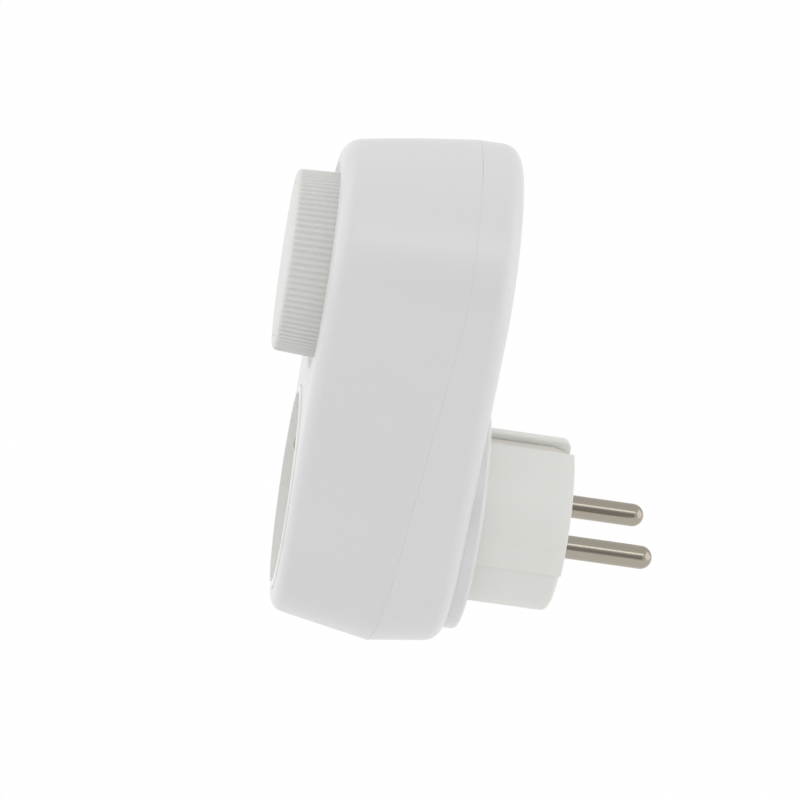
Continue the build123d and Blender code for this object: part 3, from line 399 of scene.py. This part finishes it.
def seamY(z):
    # the seam is flat behind the knob and slopes forward below it, with a long round bend
    h = housing
    slope = (h["seamEnd"] - h["seamTop"]) / (h["bendZ"] + h["creaseEnd"])
    tangent = h["bendR"] * np.tan(np.arctan(slope) / 2)
    drop = np.clip(h["bendZ"] + tangent - z, 0, None)
    arc = h["bendR"] - np.sqrt(np.clip(h["bendR"] ** 2 - drop ** 2, 0, None))
    line = slope * (h["bendZ"] - z)
    return -(h["seamTop"] + np.where(drop < 2 * tangent, arc, line))


def edgeArc(corner, along, inward, radius, steps):
    # arc that rounds each corner between a direction along the side and one across the face;
    # the radius is one number, or one for each corner
    radius = np.broadcast_to(radius, len(corner))[:, None]
    unitA = along / np.linalg.norm(along, axis=1, keepdims=True)
    unitB = inward / np.linalg.norm(inward, axis=1, keepdims=True)
    half = np.arccos(np.clip((unitA * unitB).sum(1), -1, 1))[:, None] / 2
    between = (unitA + unitB) / np.linalg.norm(unitA + unitB, axis=1, keepdims=True)
    centre = corner + between * radius / np.sin(half)
    first = (corner + unitB * radius / np.tan(half) - centre) / radius
    last = (corner + unitA * radius / np.tan(half) - centre) / radius
    span = np.pi - 2 * half
    share = np.linspace(0, 1, steps + 1)[:, None, None]
    return arcPoints(centre, radius, first, last, span, share), radius / np.tan(half)


def seamShare(crease, back):
    # how far along the rear taper each line meets the seam, by halving; always before farthest
    farthest, halvings = 0.6, 30
    low, high = np.zeros(len(crease)), np.full(len(crease), farthest)
    for _ in range(halvings):
        mid = (low + high) / 2
        at = crease + mid[:, None] * (back - crease)
        behind = at[:, 1] > seamY(at[:, 2])
        high = np.where(behind, mid, high)
        low = np.where(behind, low, mid)
    return ((low + high) / 2)[:, None]


def frontSkin(inset, edge, steps):
    # curve through three outlines: quadratic in the distance along the side, with a rounded
    # front edge; the direction at the front is taken over the first part of the side
    firstPart, stations, rearRows = 0.12, 18, 3
    (front, middle, crease, back), across = sections(inset)
    one = np.linalg.norm(middle - front, axis=1).mean()
    two = np.linalg.norm(crease - middle, axis=1).mean()
    knee = one / (one + two)

    def side(t):
        return ((t - knee) * (t - 1) / knee * front + t * (t - 1) / (knee * (knee - 1)) * middle
                + t * (t - knee) / (1 - knee) * crease)

    arc, used = edgeArc(front, side(np.full((len(front), 1), firstPart)) - front, -across, edge, steps)
    begin = used / (one + two)
    rows = [side(begin + (1 - begin) * k / stations) for k in range(1, stations + 1)]
    meet = seamShare(crease, back)
    rows += [crease + meet * k / rearRows * (back - crease) for k in range(1, rearRows + 1)]
    return [*arc, *rows], across, crease, back


def backSkin(inset, edge, steps):
    # straight taper from the seam to the back, with a rounded back edge
    stations = 8
    (_, _, crease, back), across = sections(inset)
    arc, used = edgeArc(back, crease - back, -across, edge, steps)
    meet = seamShare(crease, back)
    seam = crease + meet * (back - crease)
    end = arc[-1]
    rows = [seam + (end - seam) * k / stations for k in range(stations)]
    return [*rows, *arc[::-1]], across, crease, back


def brokenEdge(rows, across, run, atStart):
    # breaks the sharp outer edge at the seam, so that the two shells meet in a fine groove
    size = housing["seamBreak"]
    edgeRow = rows[0] if atStart else rows[-1]
    along = run / np.linalg.norm(run, axis=1, keepdims=True)
    lip = edgeRow - across * size
    if atStart:
        return [lip, edgeRow + along * size, *rows[1:]]
    return [*rows[:-1], edgeRow - along * size, lip]


def shellWall(outer, inner):
    # one closed band: outer rows, round the seam, and back along the inner rows
    rows = np.array([*outer, *inner])
    return rows.reshape(-1, 3), gridFaces(len(rows), rows.shape[1])


def flatLoop(row):
    return row[:, [0, 2]]


h = housing
holeCount = h["holeCount"]
height = np.clip(eggOutline(h["frontR"], h["frontR"])[0][:, 1] / h["axisZ"], 0, 1)
# the front edge is rounder at the knob's end
edge = h["edgeEnd"] + (h["edgeTop"] - h["edgeEnd"]) * height
outer, across, crease, back = frontSkin(0, edge, h["outerSteps"])
outer = brokenEdge(outer, across, back - crease, False)
inner = frontSkin(h["wall"], h["innerEdge"], h["innerSteps"])[0]
rim = outer[0] - across * h["frontBand"]
innerRim = inner[0] - across * h["innerBand"]
innerFront = h["front"] - h["wall"]
outerHoles = [ringOf(h["ringR"], h["axisZ"], holeCount), ringOf(h["socketHole"], 0, holeCount)]
innerHoles = [ringOf(h["shaftHole"], h["axisZ"], holeCount), ringOf(h["socketHole"], 0, holeCount)]
frontParts = [
    shellWall([rim, *outer], [*inner[::-1], innerRim]),
    flatFace([flatLoop(rim), *outerHoles], h["front"]),
    flatFace([flatLoop(innerRim), *innerHoles], innerFront),
    spun([(h["ringR"], h["front"]), (h["ringR"] - h["ringSlope"], h["front"] - h["ringDepth"]),
          (h["shaftHole"], h["front"] - h["ringDepth"]), (h["shaftHole"], innerFront)],
         h["axisZ"], holeCount, closed=False),
    spun([(h["socketHole"], h["front"]), (h["socketHole"], innerFront)], 0, holeCount, closed=False),
]
for bossX, bossZ in screws["places"]:
    boss = [(screws["pilot"], screws["bossEnd"]), (screws["bossR"], screws["bossEnd"]),
            (screws["bossR"], innerFront + screws["bossSink"]), (0, innerFront + screws["bossSink"]),
            (0, screws["pilotEnd"]), (screws["pilot"], screws["pilotEnd"])]
    frontParts.append(spun(boss, bossZ, screws["count"], bossX))
makePiece("frontShellMoulding", frontParts, absHousing, "housing", ["front_shell"])

outer, across, crease, back = backSkin(0, h["backEdge"], h["outerSteps"])
outer = brokenEdge(outer, across, back - crease, True)
inner = backSkin(h["wall"], h["innerEdge"], h["innerSteps"])[0]
rim = outer[-1] - across * h["rearBand"]
innerRim = inner[-1] - across * h["innerBand"]
innerBack = h["back"] + h["wall"]
wells = [ringOf(screws["well"], wellZ, screws["count"], wellX) for wellX, wellZ in screws["places"]]
plugHole = ringOf(disc["hollowR"], 0, holeCount)
discBack, tubeFront = innerBack - disc["sink"], innerBack - screws["tubeSink"]
rearParts = [
    shellWall([innerRim, *inner[::-1]], [*outer, rim]),
    flatFace([flatLoop(rim), plugHole, *wells], h["back"]),
    flatFace([flatLoop(innerRim), plugHole, *wells], innerBack),
    spun([(disc["hollowR"], h["back"]), (disc["hollowR"], innerBack)], 0, holeCount, closed=False),
    spun(rounded([(disc["bore"], disc["face"], disc["boreEdge"]),
                  (disc["radius"], disc["face"], disc["edge"]),
                  (disc["radius"], discBack, 0), (disc["hollowR"], discBack, 0),
                  (disc["hollowR"], disc["hollowFront"], 0), (disc["bore"], disc["hollowFront"], 0)]),
         0, disc["count"]),
]
for wellX, wellZ in screws["places"]:
    rearParts.append(spun([(screws["well"], h["back"]), (screws["well"], innerBack)],
                          wellZ, screws["count"], wellX, closed=False))
    tube = [(screws["well"], tubeFront), (screws["bossR"], tubeFront), (screws["bossR"], screws["tubeEnd"]),
            (screws["clearance"], screws["tubeEnd"]), (screws["clearance"], screws["seat"]),
            (screws["well"], screws["seat"])]
    rearParts.append(spun(tube, wellZ, screws["count"], wellX))
makePiece("rearShellMoulding", rearParts, absHousing, "housing", ["rear_shell"])
print("housing shells made")

# knob with a ribbed skirt, and the cap in its front
knobLook = {"base": 56.2, "rimDepth": 64.65, "baseR": 18.55, "rimR": 18.1, "ribs": 90, "perRib": 14,
            "ribDepth": 0.42, "rimFillet": 1.1, "seatR": 15.55, "seatDepth": 0.8, "seatEdge": 0.12,
            "inner": 62.65, "innerR": 16.1, "hubR": 5.6, "hubEnd": 59.3, "boreR": 3.05, "boreEnd": 62.45,
            "skirtRows": 7, "skirtStop": 1.3, "rimSteps": 12, "fadeEnd": 0.25, "fadeSpan": 0.9, "fadeRows": 9,
            "capR": 15.4, "crown": 0.3, "capGap": 0.02, "capEdge": 0.12, "domeInset": 0.15,
            "domeRows": 25, "capCount": 180}


def ribbedSkirt(k):
    # radius falls in a straight taper; a rounded wave, narrow in its gaps, gives the ribs, which
    # fade out on the rim
    turn = np.arange(k["ribs"] * k["perRib"]) / k["perRib"]
    ang = turn * 2 * np.pi / k["ribs"]
    gap = (0.5 - 0.5 * np.cos(2 * np.pi * turn)) ** 1.5
    skirt = np.array([(k["baseR"], k["base"]), (k["rimR"], k["rimDepth"])])
    stop = 1 - k["skirtStop"] * k["rimFillet"] / (k["rimDepth"] - k["base"])
    share = np.linspace(0, stop, k["skirtRows"])[:, None]
    seat = k["rimDepth"] - k["seatDepth"]
    rim = rounded([(k["baseR"], k["base"], 0), (k["rimR"], k["rimDepth"], k["rimFillet"]),
                   (k["seatR"], k["rimDepth"], k["seatEdge"]), (k["seatR"], seat, 0)], k["rimSteps"])[1:]
    under = np.array([(0, seat), (0, k["boreEnd"]), (k["boreR"], k["boreEnd"]),
                      (k["boreR"], k["hubEnd"]), (k["hubR"], k["hubEnd"]), (k["hubR"], k["inner"]),
                      (k["innerR"], k["inner"]), (k["innerR"], k["base"])])
    rows = np.vstack([skirt[0] * (1 - share) + skirt[1] * share, rim, under])
    fade = np.clip((k["rimDepth"] - k["fadeEnd"] - rows[:, 1]) / (k["fadeSpan"] * k["rimFillet"]), 0, 1)
    fade[len(share) + k["fadeRows"]:] = 0
    fade = fade * fade * (3 - 2 * fade)
    r = rows[:, :1] - k["ribDepth"] * fade[:, None] * gap
    pts = np.stack([r * np.sin(ang), -rows[:, 1:] + 0 * r, housing["axisZ"] + r * np.cos(ang)], -1)
    return pts.reshape(-1, 3), gridFaces(len(rows), len(ang), True)


makePiece("knobMoulding", [ribbedSkirt(knobLook)], absKnob, "knob", ["knob"], 40)

k = knobLook
# the cap's front is part of a sphere whose crown stands over the knob's rim
sphere = (k["capR"] ** 2 + k["crown"] ** 2) / (2 * k["crown"])
reach = np.linspace(0.0, 1.0, k["domeRows"]) * np.arcsin((k["capR"] - k["domeInset"]) / sphere)
dome = np.stack([sphere * np.sin(reach), k["rimDepth"] + k["crown"] - sphere * (1 - np.cos(reach))], -1)
capBack = k["rimDepth"] - k["seatDepth"] + k["capGap"]
capEdge = np.array([(k["capR"], k["rimDepth"] - k["capEdge"]), (k["capR"], capBack), (0, capBack)])
makePiece("knobCap", [spun(np.vstack([dome, capEdge]), h["axisZ"], k["capCount"])],
          absKnob, "knob", ["knob_face"])
print("knob made")

# plug body: a notched core with a rounded rim, and an S-shaped block of two full quarters and
# the guide bands
plug = {"coreR": 17.95, "fullR": 18.1, "bandR": 18.35, "setBack": 0.1, "rim": 1.3, "edge": 0.25,
        "channelHalf": 2.7, "channelFloor": 14.7, "channelEnd": 18.2, "corner": 0.5,
        "bandHalf": 2.65, "bandSlope": 0.12, "bandBreak": 0.2, "bandInX": 9.0, "bandEnd": 18.05,
        "fullEnd": 20.0, "cornerCount": 8, "coreCount": 90, "fullCount": 60, "bandCount": 14,
        "biteCount": 24, "holeCount": 48, "rimRows": 9, "edgeRows": 4,
        "pinX": 9.5, "pinHole": 2.13, "earthZ": 10.0, "earthR": 2.6, "sleeveR": 3.9, "shelf": 3.0,
        "flangeR": 21.7, "flangeDepth": 20.4, "end": 22.0, "slack": 0.02}


def channelCorner(radius, half):
    # fillet between a channel wall and the circle: its centre lies one fillet inside both
    fillet = plug["corner"]
    x = half + fillet
    z = np.sqrt((radius - fillet) ** 2 - x ** 2)
    turn = np.linspace(np.pi, np.arctan2(z, x), plug["cornerCount"])
    return np.stack([x + fillet * np.cos(turn), z + fillet * np.sin(turn)], -1)


def onCircle(radius, start, end, count):
    turn = np.linspace(start, end, count)
    return radius * np.stack([np.cos(turn), np.sin(turn)], -1)


def coreOutline(radius):
    # circle cut by the two clip channels, clockwise from the top; the lower and left halves are mirrored
    half, floorZ = plug["channelHalf"] + plug["slack"], plug["channelFloor"] - plug["slack"]
    corner = channelCorner(radius, half)
    start = np.arctan2(corner[-1, 1], corner[-1, 0])
    upper = np.vstack([[(half / 2, floorZ), (half, floorZ)], corner])
    side = onCircle(radius, start, -start, plug["coreCount"])[1:-1]
    right = np.vstack([upper, side, upper[::-1] * (1, -1)])
    return np.vstack([[(0, floorZ)], right, [(0, -floorZ)], right[::-1] * (-1, 1)])


def fullOutline(bite, bandR):
    # half of the S runs up the middle, round one full quarter and back under its guide band;
    # the other half is the same, turned half a circle, without the bite of the earth hole
    half, floorZ, band, slope = plug["channelHalf"], plug["channelFloor"], plug["bandHalf"], plug["bandSlope"]
    tip = band - plug["bandBreak"]
    corner = channelCorner(plug["fullR"], half)
    start = np.arctan2(corner[-1, 1], corner[-1, 0])
    quarter = onCircle(plug["fullR"], start, np.arcsin((band + slope) / plug["fullR"]), plug["fullCount"])[1:]
    guide = onCircle(bandR, np.arcsin((band - slope) / bandR), -np.arcsin(tip / bandR), plug["bandCount"])
    low = np.sqrt((bandR - plug["bandBreak"]) ** 2 - band ** 2)
    edge = np.vstack([[(0, floorZ), (half, floorZ)], corner, quarter, guide,
                      [(low, -band), (plug["bandInX"], -band)]])
    turn = np.linspace(0, np.pi, plug["biteCount"])
    hole = np.stack([bite * np.sin(turn), plug["earthZ"] - bite * np.cos(turn)], -1)
    return np.vstack([[(0, band)], hole, edge, [(0, -band)], -edge])


def insetLoop(loop, amount):
    # moves each point of a clockwise loop so that both of its edges move inwards by the amount
    ahead = np.roll(loop, -1, axis=0) - loop
    ahead /= np.linalg.norm(ahead, axis=1, keepdims=True)
    inward = np.stack([ahead[:, 1], -ahead[:, 0]], -1)
    before = np.roll(inward, 1, axis=0)
    return loop + amount * (inward + before) / (1 + (inward * before).sum(1, keepdims=True))


def stacked(loops, depths):
    # outlines with equal numbers of points, one behind the other
    flat = np.array(loops)
    depth = np.broadcast_to(np.asarray(depths, float)[:, None], flat.shape[:2])
    pts = np.stack([flat[..., 0], -depth, flat[..., 1]], -1)
    return pts.reshape(-1, 3), gridFaces(len(flat), flat.shape[1])


p = plug
count = p["holeCount"]
pinPlaces = (-p["pinX"], p["pinX"])
turn = np.linspace(np.pi / 2, 0, p["rimRows"])
coreRadii = p["coreR"] - p["rim"] * (1 - np.cos(turn))
coreDepths = p["setBack"] + p["rim"] * (1 - np.sin(turn))
coreLoops = [coreOutline(r) for r in coreRadii] + [coreOutline(p["coreR"])]
# the flange's circle has as many points as the core's outline, at the same angles
around = np.sort(np.arctan2(coreLoops[-1][:, 0], coreLoops[-1][:, 1]) % (2 * np.pi))
whole = np.stack([np.sin(around), np.cos(around)], -1)
coreLoops += [whole * p["coreR"], whole * p["coreR"], whole * p["flangeR"], whole * p["flangeR"]]
coreDepths = [*coreDepths, p["channelEnd"], p["channelEnd"], p["flangeDepth"], p["flangeDepth"], p["end"]]
pinHole, earthR = p["pinHole"] + p["slack"], p["earthR"] + p["slack"]
corePins = [ringOf(pinHole, 0, count, x) for x in pinPlaces]
plugParts = [
    stacked(coreLoops, coreDepths),
    flatFace([coreLoops[0], *corePins, ringOf(earthR, p["earthZ"], count)], p["setBack"]),
    flatFace([coreLoops[-1], *corePins, ringOf(p["sleeveR"], p["earthZ"], count)], p["end"]),
    spun([(earthR, p["setBack"]), (earthR, p["shelf"]), (p["sleeveR"], p["shelf"]), (p["sleeveR"], p["end"])],
         p["earthZ"], count, closed=False),
]
turn = np.linspace(np.pi / 2, 0, p["edgeRows"])
withBand, noBand = fullOutline(p["earthR"], p["bandR"]), fullOutline(p["sleeveR"], p["fullR"])
sleeveBand = fullOutline(p["sleeveR"], p["bandR"])
fullLoops = [insetLoop(withBand, p["edge"] * (1 - np.cos(t))) for t in turn]
fullLoops += [withBand, sleeveBand, sleeveBand, noBand, noBand]
fullDepths = [*(p["edge"] * (1 - np.sin(turn))),
              p["shelf"], p["shelf"], p["bandEnd"], p["bandEnd"], p["fullEnd"]]
fullPins = [ringOf(p["pinHole"], 0, count, x) for x in pinPlaces]
plugParts += [stacked(fullLoops, fullDepths), flatFace([fullLoops[0], *fullPins], 0.0),
              flatFace([noBand, *fullPins], p["fullEnd"])]
for x in pinPlaces:
    plugParts.append(spun([(pinHole, p["setBack"]), (pinHole, p["end"])], 0, count, x, closed=False))
    plugParts.append(spun([(p["pinHole"], 0), (p["pinHole"], p["fullEnd"])], 0, count, x, closed=False))
makePiece("plugMoulding", plugParts, polyamide, "housing", ["plug_body"], 40)
print("plug made")

# return spring of the shutter: a coil with closed end turns, which in the socket shortens as the shutter goes
# down; here it is drawn at one length
coil = {"depth": 37.93, "foot": -19.38, "top": -5.37, "coilR": 1.72, "wireR": 0.2, "turns": 9, "perTurn": 48,
        "sides": 12, "endTurns": 0.75, "endPitch": 0.23, "blendTurns": 0.5, "travel": 6.6}
turn = np.linspace(0, coil["turns"], coil["turns"] * coil["perTurn"] + 1)
rise = np.clip((np.minimum(turn, coil["turns"] - turn) - coil["endTurns"]) / coil["blendTurns"], 0, 1)
pitch = coil["endPitch"] + (1 - coil["endPitch"]) * rise
lift = np.concatenate([[0], np.cumsum((pitch[1:] + pitch[:-1]) / 2)])
length = coil["top"] - coil["foot"]
z = coil["foot"] + coil["wireR"] + (length - 2 * coil["wireR"]) * lift / lift[-1]
# a ring of wire round each point of the helix x = R cos a, y = R sin a, which climbs by the local pitch
outward = np.stack([np.cos(2 * np.pi * turn), np.sin(2 * np.pi * turn), 0 * turn], -1)
helix = outward * coil["coilR"] + np.stack([0 * turn, 0 * turn - coil["depth"], z], -1)
ang = np.linspace(0, 2 * np.pi, coil["sides"], endpoint=False)[:, None]
ring = coil["wireR"] * (np.cos(ang) * outward[:, None] + np.sin(ang) * np.array([0, 0, 1.0]))
wire = np.concatenate([0 * ring[:1], ring, 0 * ring[:1]])
wire = wire + np.concatenate([helix[:1], helix, helix[-1:]])[:, None]
spring = makePiece("shutterCoil", [(wire.reshape(-1, 3), gridFaces(len(wire), coil["sides"]))], springSteel,
                   "housing", ["shutter_spring"], 60)
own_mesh(spring)
print("shutter spring made")

# camera, at the photograph's angle
photoView = {"azimuth": 84.557, "elevation": 24.417, "roll": 10.482, "focalPx": 3082.07,
             "distance": 637.907, "shiftRight": -32.575, "shiftUp": 25.814,
             "picturePx": 800, "sensorMm": 36.0}
az, el, roll = (np.radians(photoView[k]) for k in ("azimuth", "elevation", "roll"))
look = np.array([-np.sin(az) * np.cos(el), np.cos(az) * np.cos(el), -np.sin(el)])
side = np.array([np.cos(az), np.sin(az), 0.0])
up = np.cross(side, look)
camRight = np.cos(roll) * side + np.sin(roll) * up
camUp = -np.sin(roll) * side + np.cos(roll) * up
target = (photoView["shiftRight"] * camRight + photoView["shiftUp"] * camUp) * mm
camPlace = target - look * photoView["distance"] * mm
camData = bpy.data.cameras.new("photoCamera")
camData.sensor_width = photoView["sensorMm"]
camData.lens = photoView["focalPx"] * photoView["sensorMm"] / photoView["picturePx"]
camera = bpy.data.objects.new("photoCamera", camData)
bpy.context.scene.collection.objects.link(camera)
camTurn = Matrix((camRight, camUp, -look)).transposed().to_4x4()
camera.matrix_world = Matrix.Translation(camPlace) @ camTurn
bpy.context.scene.camera = camera

# pale floor; the camera, mirrors and glass see it as bright as the white surround
floorLook = {"paper": "#F4F4F4", "glow": 0.97, "half": 6, "level": -0.09}
floorMat = bpy.data.materials.new("pale studio floor")
floorMat.use_nodes = True
tree = floorMat.node_tree
tree.nodes.clear()
rays = addNode(tree, "ShaderNodeLightPath")
mirrored = addNode(tree, "ShaderNodeMath", {"operation": "MAXIMUM"},
                   {0: rays.outputs["Is Glossy Ray"], 1: rays.outputs["Is Transmission Ray"]})
seen = addNode(tree, "ShaderNodeMath", {"operation": "MAXIMUM"},
               {0: rays.outputs["Is Camera Ray"], 1: mirrored.outputs[0]})
paper = addNode(tree, "ShaderNodeBsdfDiffuse", {"Color": hexToLinear(floorLook["paper"])})
glow = addNode(tree, "ShaderNodeEmission", {"Color": (1, 1, 1, 1), "Strength": 1.0})
share = addNode(tree, "ShaderNodeMath", {"operation": "MULTIPLY", 1: floorLook["glow"]}, {0: seen.outputs[0]})
floorMix = addNode(tree, "ShaderNodeMixShader",
                   links={0: share.outputs[0], 1: paper.outputs[0], 2: glow.outputs[0]})
addNode(tree, "ShaderNodeOutputMaterial", links={"Surface": floorMix.outputs[0]})

floorMesh = bpy.data.meshes.new("studioFloor")
half, level = floorLook["half"], floorLook["level"]
floorMesh.from_pydata([(x * half, y * half, level) for x, y in ((-1, -1), (1, -1), (1, 1), (-1, 1))],
                      [], [(0, 1, 2, 3)])
floorMesh.materials.append(floorMat)
floor = bpy.data.objects.new("studioFloor", floorMesh)
bpy.context.scene.collection.objects.link(floor)

studio = {"opening": (0.93, 0.05, 0.36), "edge": (0.89, 0.99), "tent": 0.80, "room": 0.35}
bpy.context.scene.view_settings.view_transform = "Standard"
world = bpy.data.worlds.new("studio")
bpy.context.scene.world = world
world.use_nodes = True
tree = world.node_tree
tree.nodes.clear()
rays = addNode(tree, "ShaderNodeLightPath")
way = addNode(tree, "ShaderNodeTexCoord")
# the white tent is open on the camera's side, where the room is dimmer: brightness follows the
# angle between a direction and the opening
opening = addNode(tree, "ShaderNodeVectorMath", {"operation": "DOT_PRODUCT", 1: studio["opening"]},
                  {0: way.outputs["Generated"]})
tent = addNode(tree, "ShaderNodeMapRange", {"interpolation_type": "SMOOTHSTEP", "From Min": studio["edge"][0],
               "From Max": studio["edge"][1], "To Min": studio["tent"], "To Max": studio["room"]},
               {"Value": opening.outputs["Value"]})
fill = addNode(tree, "ShaderNodeBackground", {"Color": (1, 1, 1, 1)}, {"Strength": tent.outputs[0]})
white = addNode(tree, "ShaderNodeBackground", {"Color": (1, 1, 1, 1), "Strength": 1.0})
worldMix = addNode(tree, "ShaderNodeMixShader",
                   links={0: rays.outputs["Is Camera Ray"], 1: fill.outputs[0], 2: white.outputs[0]})
addNode(tree, "ShaderNodeOutputWorld", links={"Surface": worldMix.outputs[0]})

# a strip lamp overhead on the camera's side, which the pins mirror as a bright line, and two large
# soft lamps before and behind the object
lamps = {
    "overhead": {"place": (0.56, 0.0, 0.83), "size": (0.9, 0.2), "power": 0.8},
    "front": {"place": (-0.15, -0.85, 0.20), "size": (1.0, 1.0), "power": 2.2},
    "behind": {"place": (0.10, 0.85, 0.25), "size": (1.0, 1.0), "power": 2.2},
}
lampAim = Vector((0, -0.03, 0.025))
for lampName, lamp in lamps.items():
    data = bpy.data.lights.new(lampName, "AREA")
    data.shape = "RECTANGLE"
    data.size, data.size_y = lamp["size"]
    data.energy = lamp["power"]
    light = bpy.data.objects.new(lampName, data)
    light.location = lamp["place"]
    light.rotation_euler = (lampAim - light.location).to_track_quat("-Z", "Y").to_euler()
    bpy.context.scene.collection.objects.link(light)
print("camera, floor and lamps placed")
